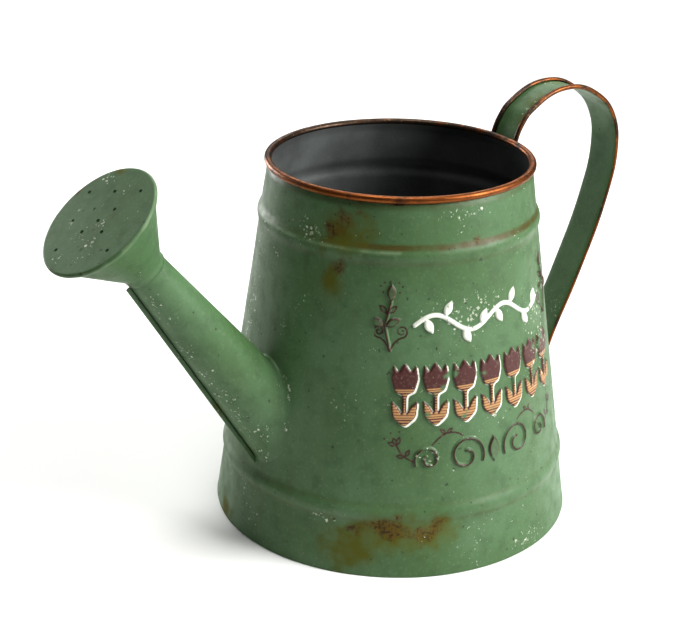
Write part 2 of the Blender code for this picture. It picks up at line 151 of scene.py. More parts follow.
def close_up(mesh, move=Matrix()):
    """Fill a mesh's open ends, turn its faces outwards and move it."""
    work = bmesh.new()
    work.from_mesh(mesh)
    bmesh.ops.holes_fill(work, edges=work.edges)
    bmesh.ops.recalc_face_normals(work, faces=work.faces)
    work.transform(move)
    work.to_mesh(mesh)
    work.free()


def bake(item):
    """Replace a piece's mesh by what its modifiers make of it."""
    graph = bpy.context.evaluated_depsgraph_get()
    mesh = bpy.data.meshes.new_from_object(item.evaluated_get(graph))
    item.modifiers.clear()
    item.data = mesh
    mesh.shade_smooth()
    mesh.set_sharp_from_angle(angle=SHARP_EDGE)


def cut(item, tool):
    """Take the tool's volume out of a piece for good, and remove the tool."""
    boolean = item.modifiers.new("cut", "BOOLEAN")
    boolean.object = tool
    boolean.operation = "DIFFERENCE"
    boolean.solver = "EXACT"
    bake(item)
    bpy.data.objects.remove(tool)


def read_spots(source, key):
    """Rows of (x, y, z) from a mesh's vertices or from a vector attribute."""
    spots = np.empty(len(source) * 3, dtype=np.float32)
    source.foreach_get(key, spots)
    return spots.reshape(-1, 3)


def paint_values(item, name, rule):
    """Store rule(x, y, z) at every vertex as a named attribute."""
    values = rule(*read_spots(item.data.vertices, "co").T).astype(np.float32)
    item.data.attributes.new(name, "FLOAT", "POINT").data.foreach_set("value", values)


def fade(value, start, end):
    """Smooth step from 0 at start to 1 at end."""
    part = np.clip((value - start) / (end - start), 0.0, 1.0)
    return part * part * (3 - 2 * part)


def wall_line():
    """Middle of the sheet from the hem's inner edge, up the wall and round the curled rim."""
    half = SHEET / 2
    hem_depth = 2 * (SHEET + FIT_GAP)
    foot = wall_radius(0) - half
    line = [(wall_radius(HEM_HEIGHT) - half - hem_depth, HEM_HEIGHT)]
    line += arc((foot - hem_depth + HEM_ROUND, half + HEM_ROUND), HEM_ROUND, 180, 270, 4)
    line += arc((foot - HEM_ROUND, half + HEM_ROUND), HEM_ROUND, 270, 360, 4)
    neck = RIM_HEIGHT - RIM_NECK
    clear = BEAD_WIDTH / 2 + BEAD_SPACING
    heights = set(np.linspace(2 * SHEET, neck, round(neck / WALL_SPACING)))
    for centre in (LOW_BEAD, HIGH_BEAD):
        heights = {height for height in heights if abs(height - centre) > clear}
        steps = np.arange(BEAD_STEPS + 1) - BEAD_STEPS / 2
        heights |= set(centre + steps * BEAD_WIDTH / BEAD_STEPS)
    for height in sorted(heights):
        line.append((wall_radius(height) - half + bead_relief(height), height))
    line += arc((RIM_RADIUS, RIM_HEIGHT), RIM_TUBE - half, 200, -75, 27)
    return line


def lap_height(azimuth, height):
    """Extra height of the lapped end of the sheet, a strip centred on the handle's side."""
    across = np.abs(np.angle(np.exp(1j * azimuth))) * wall_radius(height)
    inside = fade(across, LAP_WIDTH / 2, LAP_WIDTH / 2 - LAP_BEVEL)
    low, high = HEM_HEIGHT + LAP_END_MARGIN, RIM_HEIGHT - RIM_NECK - LAP_END_MARGIN
    return SHEET * inside * ((height > low) & (height < high))


def wall_points(radius, azimuth, height):
    """World points of wall radii, with the dents of use pressed in."""
    x = AXIS_X + radius * np.cos(azimuth)
    y = radius * np.sin(azimuth)
    pressed = np.vectorize(dent)(x, y, height)
    x += pressed * np.cos(azimuth)
    y += pressed * np.sin(azimuth)
    return np.stack([x, y, height], axis=-1)


# The spout's line and taper, which the hole in the wall follows
SPOUT_REACH = 0.070
SPOUT_HEIGHT = 0.0571
SPOUT_ELEVATION = radians(53.1)
SPOUT_LENGTH = 0.1175
SPOUT_FOOT_RADIUS = 0.01835
SPOUT_TIP_RADIUS = 0.00935
spout_turn = Matrix.Rotation(SPOUT_ELEVATION - pi / 2, 4, "Y")
spout_place = Matrix.Translation((AXIS_X - SPOUT_REACH, 0.0, SPOUT_HEIGHT)) @ spout_turn


def spout_radius(along):
    return SPOUT_FOOT_RADIUS + (SPOUT_TIP_RADIUS - SPOUT_FOOT_RADIUS) * along / SPOUT_LENGTH


profile = thick_loop(wall_line(), SHEET)
around = np.arange(WALL_COLUMNS) * tau / WALL_COLUMNS
edge = LAP_WIDTH / 2 / wall_radius(HIGH_BEAD)
lap_edges = [side * edge * share for side in (-1, 1) for share in (0.86, 0.92, 0.98, 1.02)]
around = np.sort(np.append(around, np.mod(lap_edges, tau)))
turns, heights = np.meshgrid(around, profile[:, 1])
radii = np.repeat(profile[:, :1], len(around), axis=1)
outer = radii > wall_radius(heights) + bead_relief(heights) - SHEET / 2
radii = radii + lap_height(turns, heights) * outer
can_wall = lattice("can_wall", wall_points(radii, turns, heights), loop_rows=True)

bore_radii = [(spout_radius(at) - SHEET, at) for at in BORE_REACH]
bore = lattice("spout_bore", revolve(np.array(bore_radii), BORE_COLUMNS))
close_up(bore.data, spout_place)
cut(can_wall, bore)


def facing(x, y, azimuth):
    """Cosine between a point's side of the can and an azimuth in degrees."""
    return np.cos(np.arctan2(y, x - AXIS_X) - radians(azimuth))


def rim_copper(x, y, z):
    """Bare metal on the curled rim."""
    reach = np.hypot(np.hypot(x - AXIS_X, y) - RIM_RADIUS, z - RIM_HEIGHT)
    return fade(reach, RIM_TUBE + 0.0008, RIM_TUBE + 0.0002)


def rim_darkening(x, y, z):
    """Brown-black darkening on the rim, heaviest at the back and least on the ornament's side."""
    return 0.5 - 0.5 * facing(x, y, -105)


def wall_dirt_and_shade(x, y, z):
    """Painted shadow under the rim, dirt in the crease over the upper bead, fainter dirt and
    painted shade round the others.
    """
    dirt_and_shade_share = fade(np.abs(z - (RIM_HEIGHT - RIM_TUBE - 0.0006)), 0.0016, 0.0002)
    for centre, side, amount in ((LOW_BEAD, 1, 0.2), (LOW_BEAD, -1, 0.35), (HIGH_BEAD, -1, 0.3)):
        off_foot = np.abs(z - centre - side * BEAD_FOOT)
        dirt_and_shade_share = np.maximum(dirt_and_shade_share, amount * fade(off_foot, 0.0016, 0.0002))
    front = 0.25 + 1.05 * fade(facing(x, y, -100), 0.35, 0.85)
    return np.maximum(dirt_and_shade_share, front * fade(np.abs(z - DIRT_LINE), 0.0019, 0.0006))


def wall_rub_and_highlight(x, y, z):
    """Pale line along the upper bead's crest, most by the spout: rubbed paint and a painted
    highlight.
    """
    side = fade(facing(x, y, -160), 0.6, 0.95)
    return fade(np.abs(z - LIT_AND_RUBBED_CREST), 0.0011, 0.0002) * (0.2 + 0.8 * side)


paint_values(can_wall, "copper", rim_copper)
paint_values(can_wall, "darkening", rim_darkening)
# Dirt over the upper bead, painted shadow under the rim, painted shade at the beads' other feet
paint_values(can_wall, "dirt_and_shade", wall_dirt_and_shade)
# Pale crest line: rubbed paint and a painted highlight
paint_values(can_wall, "rub_and_highlight", wall_rub_and_highlight)


def shade(code):
    """Linear colour of an sRGB hex code."""
    values = [int(code[i:i + 2], 16) / 255 for i in (1, 3, 5)]
    linear = [v / 12.92 if v <= 0.04045 else ((v + 0.055) / 1.055) ** 2.4 for v in values]
    return (*linear, 1.0)


def add(tree, kind, sockets=None, **settings):
    """Add a node, a shader's without the ShaderNode that its kind starts with. Settings are its
    own properties, and a socket takes a value, another node's socket, or another node, whose
    first live output is linked."""
    item = tree.nodes.new(kind if "Node" in kind else "ShaderNode" + kind)
    for name, value in settings.items():
        setattr(item, name, value)
    for socket, value in (sockets or {}).items():
        if isinstance(value, bpy.types.Node):
            value = next(output for output in value.outputs if output.enabled)
        if isinstance(value, bpy.types.NodeSocket):
            tree.links.new(value, item.inputs[socket])
        else:
            item.inputs[socket].default_value = value
    return item


def patches(tree, position, spots):
    """Largest of a set of soft ellipsoids, each (centre, size across, size up), 1 in its middle."""
    total = None
    for centre, across, up in spots:
        scale = (1 / across, 1 / across, 1 / up)
        shift = tuple(-c * s for c, s in zip(centre, scale))
        moved = add(tree, "VectorMath", {0: position, 1: scale, 2: shift}, operation="MULTIPLY_ADD")
        reach = add(tree, "VectorMath", {0: moved}, operation="LENGTH")
        soft = add(tree, "Math", {0: 1.0, 1: reach}, operation="SUBTRACT")
        if total is not None:
            soft = add(tree, "Math", {0: total, 1: soft}, operation="MAXIMUM")
        total = soft
    return total


def blank_paint(name):
    """A material without nodes, its tree, and the position on the piece."""
    paint = bpy.data.materials.new(name)
    paint.use_nodes = True
    tree = paint.node_tree
    tree.nodes.clear()
    return paint, tree, add(tree, "TexCoord").outputs["Object"]


def weathered_enamel(name, place_of, *tables):
    """Green enamel sprayed over a pale primer on steel sheet. It gives a satin skin, clouded where
    the coat is thin, flaked to the primer in small ragged chips, rubbed pale on what stands
    proud with painted highlights there, darkened with dirt and painted shade in corners, and
    stained olive with brown cores where rust bleeds through. A near-black painted shadow lies
    in a seam's crease. Rolled edges are bare metal, copper-coloured and darkened in places. The
    tables of stains, rust cores and flaked spots have rows of what place_of takes, a size
    across and a size up."""
    stains, cores, flaked = (
        [(place_of(*where), across, up) for *where, across, up in table] for table in tables)
    paint, tree, spot = blank_paint(name)
    smooth = {"interpolation_type": "SMOOTHSTEP"}
    colours = {"data_type": "RGBA"}

    # Patches of about 55, 22, 8 and 1.5 mm, and the values painted on the piece
    cloud, crowd, mottle, grain = (
        add(tree, "TexNoise", {"Vector": spot, "Scale": scale, "Detail": detail})
        for scale, detail in ((18.0, 4.0), (45.0, 3.0), (130.0, 6.0), (700.0, 3.0)))
    dirt_and_shade, print_cover, rubbed_and_lit, copper, darkened, crease = (
        add(tree, "Attribute", attribute_name=layer).outputs["Fac"]
        for layer in ("dirt_and_shade", "print_cover", "rub_and_highlight", "copper", "darkening", "crease"))
    print_colour = add(tree, "Attribute", attribute_name="print").outputs["Color"]

    # The sprayed green, clouded, dulled and paled
    clouded = add(tree, "MapRange", {0: cloud, 1: 0.32, 2: 0.70}, **smooth)
    colour = add(tree, "Mix", {0: clouded, 6: shade("#47643d"), 7: shade("#567351")}, **colours)
    dull = add(tree, "MapRange", {0: mottle, 1: 0.45, 2: 0.75, 4: 0.45}, **smooth)
    pale = add(tree, "MapRange", {0: grain, 1: 0.5, 2: 0.8, 4: 0.25}, **smooth)
    coats = [(dull, "#3b5436"), (pale, "#788f6d")]

    # Faint runs down the wall, 9 mm wide and 80 mm long
    upright = add(tree, "Mapping", {"Vector": spot, "Scale": (110.0, 110.0, 12.0)})
    runs = add(tree, "TexNoise", {"Vector": upright, "Scale": 1.0, "Detail": 3.0})
    run = add(tree, "MapRange", {0: runs, 1: 0.52, 2: 0.78, 4: 0.35}, **smooth)
    coats.append((run, "#4a5636"))

    # Dirt and painted shade in corners and under the rim, broken up by the mottle
    uneven = add(tree, "MapRange", {0: mottle, 1: 0.28, 2: 0.58, 3: 0.34, 4: 0.85}, **smooth)
    dirt_and_shade_share = add(tree, "Math", {0: dirt_and_shade, 1: uneven}, operation="MULTIPLY")
    coats.append((dirt_and_shade_share, "#4a451c"))

    # Rust: an olive halo, brown cores and near-black grains in them
    drift = add(tree, "TexNoise", {"Vector": spot, "Scale": 110.0, "Detail": 3.0}).outputs["Color"]
    drift = add(tree, "VectorMath", {0: drift, 1: (0.5,) * 3}, operation="SUBTRACT")
    wander = add(tree, "VectorMath", {0: drift, 1: (0.01,) * 3, 2: spot}, operation="MULTIPLY_ADD")
    crumbs = add(tree, "Math", {0: mottle, 1: 0.5}, operation="SUBTRACT")
    stain = add(tree, "Math", {0: patches(tree, wander, stains), 1: crumbs}, operation="ADD")
    soaked = add(tree, "MapRange", {0: stain, 1: -0.15, 2: 0.85}, **smooth)
    thin = add(tree, "MapRange", {0: mottle, 1: 0.30, 2: 0.62, 3: 0.60, 4: 0.95}, **smooth)
    halo = add(tree, "Math", {0: soaked, 1: thin}, operation="MULTIPLY")
    bleed = add(tree, "Math", {0: crumbs, 1: 2.4, 2: patches(tree, wander, cores)},
                operation="MULTIPLY_ADD")
    core = add(tree, "MapRange", {0: bleed, 1: -0.1, 2: 0.95, 4: 0.75}, **smooth)
    scabs = add(tree, "MapRange", {0: grain, 1: 0.46, 2: 0.60}, **smooth)
    scab = add(tree, "Math", {0: core, 1: scabs}, operation="MULTIPLY")
    coats += [(halo, "#555607"), (core, "#5d4408"), (scab, "#291d10")]

    # Hand-painted figures, worn thin in places
    handled = add(tree, "MapRange", {0: grain, 1: 0.5, 2: 0.75, 4: 0.30}, **smooth)
    worn = add(tree, "Mix", {0: handled, 6: print_colour, 7: shade("#8d7a66")}, **colours)
    holds = add(tree, "MapRange", {0: mottle, 1: 0.32, 2: 0.41}, **smooth)
    printed = add(tree, "Math", {0: print_cover, 1: holds}, operation="MULTIPLY")
    coats.append((printed, worn))

    # Rubbed crests and edges, with painted highlights
    patchy = add(tree, "MapRange", {0: mottle, 1: 0.42, 2: 0.66, 4: 0.5}, **smooth)
    rub_and_highlight = add(tree, "Math", {0: rubbed_and_lit, 1: patchy}, operation="MULTIPLY")
    coats.append((rub_and_highlight, "#8da380"))

    # Flakes down to the primer, 0.3 to 2 mm across with ragged rims, and dark pits between them
    jitter = add(tree, "TexNoise", {"Vector": spot, "Scale": 1500.0, "Detail": 2.0})
    ragged = add(tree, "VectorMath", {0: jitter.outputs["Color"], 1: (0.0022,) * 3, 2: spot},
                 operation="MULTIPLY_ADD")
    crowded = add(tree, "MapRange", {0: crowd, 1: 0.48, 2: 0.78, 3: 0.16, 4: 0.75}, **smooth)
    worst = add(tree, "Math", {0: patches(tree, spot, flaked), 1: 1.3}, operation="MULTIPLY")
    worst = add(tree, "Math", {0: worst, 1: 1.15}, operation="MINIMUM")
    wanted = add(tree, "Math", {0: worst, 1: crowded}, operation="MAXIMUM")
    wavy = add(tree, "Math", {0: grain, 1: 0.7, 2: -0.35}, operation="MULTIPLY_ADD")
    bite = add(tree, "Math", {0: wavy, 1: wanted}, operation="MULTIPLY")
    flakes = 0.0
    for pitch, size in ((700.0, 0.70), (420.0, 0.62), (230.0, 0.36)):
        cells = add(tree, "TexVoronoi", {"Vector": ragged, "Scale": pitch, "Randomness": 1.0},
                    distance="MANHATTAN")
        lot = add(tree, "SeparateColor", {0: cells.outputs["Color"]})
        rare = add(tree, "Math", {0: lot, 1: 2.6}, operation="POWER")
        sized = add(tree, "Math", {0: rare, 1: size}, operation="MULTIPLY")
        limit = add(tree, "Math", {0: sized, 1: wanted, 2: bite}, operation="MULTIPLY_ADD")
        bare = add(tree, "Math", {0: limit, 1: cells}, operation="SUBTRACT")
        full = add(tree, "MapRange", {0: lot.outputs[1], 3: 0.35, 4: 1.0})
        flake = add(tree, "MapRange", {0: bare, 1: 0.0, 2: 0.06, 4: full}, **smooth)
        flakes = add(tree, "Math", {0: flakes, 1: flake}, operation="MAXIMUM")
    hollows = add(tree, "TexVoronoi", {"Vector": ragged, "Scale": 200.0, "Randomness": 1.0})
    deep = add(tree, "SeparateColor", {0: hollows.outputs["Color"]}).outputs[1]
    pit_size = add(tree, "Math", {0: deep, 1: 0.16, 2: wavy}, operation="MULTIPLY_ADD")
    pit_rim = add(tree, "Math", {0: pit_size, 1: hollows}, operation="SUBTRACT")
    pit = add(tree, "MapRange", {0: pit_rim, 1: 0.0, 2: 0.07, 4: 0.7}, **smooth)
    primed = add(tree, "Math", {0: flakes, 1: 0.92}, operation="MULTIPLY")
    coats += [(pit, "#222c1c"), (primed, "#d9dccb")]

    # Bare rolled edges: copper-coloured, browned, with bright rubbed grains
    torn = add(tree, "Math", {0: crumbs, 1: 0.9, 2: copper}, operation="MULTIPLY_ADD")
    bare_metal = add(tree, "MapRange", {0: torn, 1: 0.35, 2: 0.6}, **smooth)
    darkening_level = add(tree, "Math", {0: crumbs, 1: 2.4, 2: darkened}, operation="MULTIPLY_ADD")
    darkened_share = add(tree, "MapRange", {0: darkening_level, 1: 0.15, 2: 0.85}, **smooth)
    browned = add(tree, "MapRange", {0: mottle, 1: 0.50, 2: 0.75, 4: 0.7}, **smooth)
    bright = add(tree, "MapRange", {0: grain, 1: 0.55, 2: 0.8, 4: 0.6}, **smooth)
    metal = shade("#7f4a24")
    for share, code in ((darkened_share, "#40342b"), (browned, "#33231a"), (bright, "#a0724c")):
        metal = add(tree, "Mix", {0: share, 6: metal, 7: shade(code)}, **colours)
    # The last coat is near-black painted shadow in the crease along the spout's seam
    coats += [(bare_metal, metal), (crease, "#0c110c")]

    for share, coat in coats:
        coat = shade(coat) if isinstance(coat, str) else coat
        colour = add(tree, "Mix", {0: share, 6: colour, 7: coat}, **colours)
    satin = add(tree, "MapRange", {0: mottle, 1: 0.3, 2: 0.7, 3: 0.40, 4: 0.56}, **smooth)
    rusted = add(tree, "Math", {0: halo, 1: 0.25, 2: satin}, operation="MULTIPLY_ADD")
    roughness = add(tree, "Math", {0: bare_metal, 1: -0.06, 2: rusted}, operation="MULTIPLY_ADD")
    skin = 0.0
    for part, height in ((mottle, 0.25), (grain, 0.12), (flakes, -0.35), (pit, -0.6), (scab, 0.8)):
        skin = add(tree, "Math", {0: part, 1: height, 2: skin}, operation="MULTIPLY_ADD")
    bump = add(tree, "Bump", {"Height": skin, "Strength": 0.6, "Distance": 0.0003})
    metallic = add(tree, "Math", {0: bare_metal, 1: 0.85}, operation="MULTIPLY")
    shader = add(tree, "BsdfPrincipled", {
        "Base Color": colour,
        "Roughness": roughness,
        "Metallic": metallic,
        "Normal": bump,
        "IOR": 1.42,
    })
    add(tree, "OutputMaterial", {0: shader})
    return paint


def charcoal_lacquer():
    """Dark lacquer dipped over the inside: charcoal grey with a soft sheen, clouded and dusty."""
    paint, tree, spot = blank_paint("charcoal_lacquer")
    smooth = {"interpolation_type": "SMOOTHSTEP"}
    colours = {"data_type": "RGBA"}
    cloud = add(tree, "TexNoise", {"Vector": spot, "Scale": 45.0, "Detail": 6.0})
    grain = add(tree, "TexNoise", {"Vector": spot, "Scale": 900.0, "Detail": 2.0})
    clouded = add(tree, "MapRange", {0: cloud, 1: 0.30, 2: 0.72}, **smooth)
    colour = add(tree, "Mix", {0: clouded, 6: shade("#515453"), 7: shade("#626664")}, **colours)
    dusty = add(tree, "MapRange", {0: grain, 1: 0.56, 2: 0.8, 4: 0.35}, **smooth)
    colour = add(tree, "Mix", {0: dusty, 6: colour, 7: shade("#7d7d78")}, **colours)
    bump = add(tree, "Bump", {"Height": grain, "Strength": 0.25, "Distance": 0.0002})
    roughness = add(tree, "MapRange", {0: cloud, 1: 0.3, 2: 0.7, 3: 0.30, 4: 0.42}, **smooth)
    shader = add(tree, "BsdfPrincipled", {
        "Base Color": colour,
        "Roughness": roughness,
        "Normal": bump,
        "IOR": 1.5,
    })
    add(tree, "OutputMaterial", {0: shader})
    return paint


def on_wall(azimuth, height):
    """World point on the plain wall."""
    turn = radians(azimuth)
    radius = wall_radius(height)
    return (AXIS_X + radius * cos(turn), radius * sin(turn), height)


WALL_STAINS = (
    (-150, 0.159, 0.0170, 0.0120),
    (-154, 0.136, 0.0072, 0.0105),
    (-141, 0.013, 0.0170, 0.0150),
    (-133, 0.0205, 0.0190, 0.0120),
    (-124, 0.0215, 0.0190, 0.0115),
    (-114, 0.0210, 0.0150, 0.0115),
    (-196, 0.004, 0.0110, 0.0070),
    (38, 0.014, 0.0140, 0.0070),
    (122, 0.158, 0.0110, 0.0080),
)
WALL_CORES = (
    (-149, 0.1650, 0.0075, 0.0062),
    (-157.5, 0.1600, 0.0052, 0.0046),
    (-150.7, 0.1440, 0.0044, 0.0044),
    (-140.5, 0.0222, 0.0045, 0.0024),
    (-129, 0.0235, 0.0130, 0.0058),
    (-120, 0.0220, 0.0120, 0.0052),
    (-114, 0.0225, 0.0072, 0.0066),
    (-126.3, 0.0295, 0.0032, 0.0030),
    (-117.3, 0.0155, 0.0026, 0.0024),
    (-95.3, 0.1566, 0.0030, 0.0024),
    (36, 0.013, 0.0070, 0.0030),
    (121, 0.160, 0.0050, 0.0034),
)
WALL_FLAKED = (
    (-100, 0.168, 0.026, 0.0045),
    (-98, 0.122, 0.036, 0.020),
    (-62, 0.100, 0.026, 0.045),
    (-166, 0.157, 0.018, 0.010),
    (-199, 0.110, 0.012, 0.050),
    (-80, 0.006, 0.024, 0.0080),
    (-168, 0.082, 0.006, 0.012),
    (-150, 0.026, 0.012, 0.007),
    (-116.7, 0.0190, 0.0042, 0.0034),
    (-116, 0.058, 0.012, 0.008),
)
CURL_MARGIN = 0.0003

enamel = weathered_enamel("weathered_green_enamel", on_wall, WALL_STAINS, WALL_CORES, WALL_FLAKED)
charcoal = charcoal_lacquer()
can_wall.data.materials.append(enamel)
can_wall.data.materials.append(charcoal)
for face in can_wall.data.polygons:
    x, y, z = face.center
    reach = hypot(x - AXIS_X, y)
    skin = wall_radius(z) + float(bead_relief(z)) - SHEET / 2 + dent(x, y, z)
    near_curl = hypot(reach - RIM_RADIUS, z - RIM_HEIGHT) < RIM_TUBE + CURL_MARGIN
    if reach < skin and not near_curl and z > SHEET:
        face.material_index = 1
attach(can_wall, "root")
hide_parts("body_wall")

# Stamped ornament: a row of tulips, scrolls below and a vine above, pressed out of the wall with
# the same sheet and painted by hand in burgundy, tan and cream. It is a skin over the wall's
# front, raised where a figure stands and hidden under the wall's face elsewhere.
ORNAMENT_AZIMUTH = radians(-92)
ORNAMENT_RELIEF = 0.0011
ORNAMENT_BOTTOM = 0.040
ORNAMENT_TOP = 0.141
ORNAMENT_HALF_SWEEP = 0.0575
ORNAMENT_CELL = 0.00032
TULIP_COUNT = 7
TULIP_PITCH = 0.0142
TULIP_HEIGHT = 0.0875
TULIP_ROUNDING = 0.15
LINE_WIDTH = 0.0016
SCROLL_HEIGHT = 0.0570
SCROLL_RADIUS = 0.0095
SCROLL_SPREAD = 0.0150
SCROLL_TURNS = 1.3
SCROLL_START = radians(205)
SCROLL_SHRINK = 0.78
SIDE_SCROLL_RADIUS = 0.0065
SIDE_SCROLL_SPREAD = 0.0335
SIDE_SCROLL_TURNS = 1.2
ARCH_RISE = 0.0055
DROP_LENGTH = 0.0130
DROP_WIDTH = 0.0060
VINE_HEIGHT = 0.1195
VINE_LENGTH = 0.0720
VINE_SWING = 0.0042
VINE_WAVES = 2.0
VINE_WIDTH = 0.0020
VINE_LEAVES = 8
LEAF_LENGTH = 0.0080
LEAF_WIDTH = 0.0040
LEAF_LIFT = radians(62)
SPRIG_SPREAD = 0.0480
SPRIG_HEIGHT = 0.1080
SPRIG_LENGTH = 0.0220
SPRIG_BEND = 0.0026
SPRIG_LEAF_LIFT = radians(25)
SPRIG_DOTS = ((0.0040, 0.0262), (0.0052, 0.0288), (0.0034, 0.0305))
CURL_RADIUS = 0.0029
CURL_TURNS = 1.45
BUD_LEAN = 0.75
BUD_DOT_REACH = 0.0068
STEM_LEAF_LEAN = 0.95
DOT_LENGTH = 0.0001
FLANK = 0.0010
FIGURE_MARGIN = 0.004
EDGE_LINE = 0.00085
PRINT_LINE = 0.00085
PRINT_EDGE = (-0.0002, 0.0001)
OUTLINE_INSET = 0.00035
OUTLINE_EDGE = (0.00055, 0.00025)
FAINT_FILL = 0.25
HATCH_TOP = 0.0030
HATCH_INSET = 0.0005
HATCH_PITCH = 0.00125
HATCH_SHARE = 0.62
SUNK = 0.00012
PAINT_LIFT = 0.00004

BURGUNDY, UMBER, CREAM, TAN = (
    np.array(shade(code)[:3]) for code in ("#4d2a27", "#3b241d", "#e4e6da", "#b58a5c"))


def tulip_outline():
    """Cup with three petals, a stem and two leaves, its corners rounded off."""
    half = (
        (0.0000, 0.0150), (0.0030, 0.0105), (0.0052, 0.0140), (0.0062, 0.0075),
        (0.0044, 0.0016), (0.0009, 0.0000), (0.0009, -0.0090), (0.0030, -0.0052),
        (0.0060, -0.0026), (0.0052, -0.0105), (0.0000, -0.0150),
    )
    outline = np.array(list(half) + [(-x, y) for x, y in reversed(half[1:-1])])
    for _ in range(2):
        following = np.roll(outline, -1, axis=0)
        step = TULIP_ROUNDING * (following - outline)
        outline = np.stack([outline + step, following - step], axis=1).reshape(-1, 2)
    return outline


def turned(outline, angle, start=(0.0, 0.0)):
    turn = np.array([[cos(angle), -sin(angle)], [sin(angle), cos(angle)]])
    return outline @ turn.T + np.array(start)


def leaf(length, width, angle=0.0, start=(0.0, 0.0)):
    """Pointed outline from a start, along an angle."""
    t = np.linspace(0.0, 1.0, 10)
    side = np.stack([length * t, width / 2 * np.sin(pi * t)], axis=1)
    return turned(np.vstack([side, (side * (1, -1))[-2:0:-1]]), angle, start)


def distance_to(line, x, y, closed):
    """Distance from each (x, y) to a line of straight steps."""
    least = np.full(x.shape, 1.0)
    ends = np.roll(line, -1, axis=0) if closed else line[1:]
    for a, b in zip(line, ends):
        step = b - a
        t = np.clip(((x - a[0]) * step[0] + (y - a[1]) * step[1]) / (step @ step), 0.0, 1.0)
        least = np.minimum(least, np.hypot(x - a[0] - t * step[0], y - a[1] - t * step[1]))
    return least


def figure_depth(shape, width, x, y):
    """Distance inside a line of a width, or inside a closed outline, negative outside it."""
    if width:
        return width / 2 - distance_to(shape, x, y, False)
    inside = np.zeros(x.shape, dtype=bool)
    for a, b in zip(shape, np.roll(shape, -1, axis=0)):
        crosses = (a[1] > y) != (b[1] > y)
        rise = np.where(b[1] == a[1], 1.0, b[1] - a[1])
        inside ^= crosses & (x < (b[0] - a[0]) * (y - a[1]) / rise + a[0])
    return np.where(inside, 1.0, -1.0) * distance_to(shape, x, y, True)


def spiral(side, radius, start, turn, steps):
    """Line that winds in from a radius, from a start angle through a turn."""
    t = np.linspace(0.0, 1.0, steps)
    angle = start + turn * t
    reach = radius * (1 - SCROLL_SHRINK * t)
    return np.stack([side * reach * np.cos(angle), reach * np.sin(angle)], axis=1)


def scroll(side, size, turns):
    return spiral(side, size, SCROLL_START, -tau * turns, 40)


def vine_swing(along):
    return VINE_SWING * np.sin(tau * VINE_WAVES * along / VINE_LENGTH)


def bend(start, corner, end, t):
    """Point on a curve that leaves for a corner and turns to its end."""
    return (1 - t) ** 2 * start + 2 * t * (1 - t) * corner + t * t * end


def bent_line(*points):
    return bend(*(np.array(point) for point in points), np.linspace(0.0, 1.0, 14)[:, None])


def dot(x, y):
    return np.array(((x, y), (x + DOT_LENGTH, y)))


def scroll_flourish(side):
    """Thin painted lines that carry the scrolls on: an arch, a stem with leaves, and a bud."""
    crown = (side * (SCROLL_SPREAD + 0.0015), SCROLL_RADIUS)
    top = (side * (SIDE_SCROLL_SPREAD - 0.0020), SIDE_SCROLL_RADIUS)
    middle = (side * (SCROLL_SPREAD + SIDE_SCROLL_SPREAD) / 2, SCROLL_RADIUS + ARCH_RISE)
    arch = bent_line(crown, middle, top)
    root = np.array((side * (SIDE_SCROLL_SPREAD + SIDE_SCROLL_RADIUS - 0.0004), -0.0010))
    bud = root + (side * 0.0085, 0.0075)
    stem = bent_line(root, root + (side * 0.0055, 0.0010), bud)
    heading = atan2(stem[-1][1] - stem[-2][1], stem[-1][0] - stem[-2][0])
    figures = [("stem", arch), ("stem", stem)]
    for lean in (-BUD_LEAN, 0.0, BUD_LEAN):
        way = heading + lean * 0.8
        figures.append(("bud", leaf(0.0048, 0.0024, heading + lean, bud)))
        reach = BUD_DOT_REACH * np.array((cos(way), sin(way)))
        figures.append(("stem", dot(*bud + reach)))
    for lean in (-STEM_LEAF_LEAN, STEM_LEAF_LEAN):
        figures.append(("bud", leaf(0.0045, 0.0022, heading + lean, stem[6])))
        figures.append(("bud", leaf(0.0042, 0.0021, pi / 2 + lean, arch[7])))
    return figures


def sprig_flourish(side):
    """Painted curls from the foot of a sprig, small leaves on its stem and dots by its bud."""
    figures = []
    for way in (-1, 1):
        curl = spiral(1, CURL_RADIUS, -pi / 2, way * CURL_TURNS * tau, 36)
        curl += (way * 0.0052, 0.0085)
        lead = bent_line((0.0, -0.0005), (way * 0.0022, 0.0048), curl[0])
        leaf_start = (side * SPRIG_BEND / 2, 0.0165)
        figures.append(("stem", np.vstack([lead[:-1], curl])))
        figures.append(("bud", leaf(0.0058, 0.0028, pi / 2 - way * 0.85, leaf_start)))
        figures += [("stem", dot(way * x, y)) for x, y in SPRIG_DOTS]
    return figures


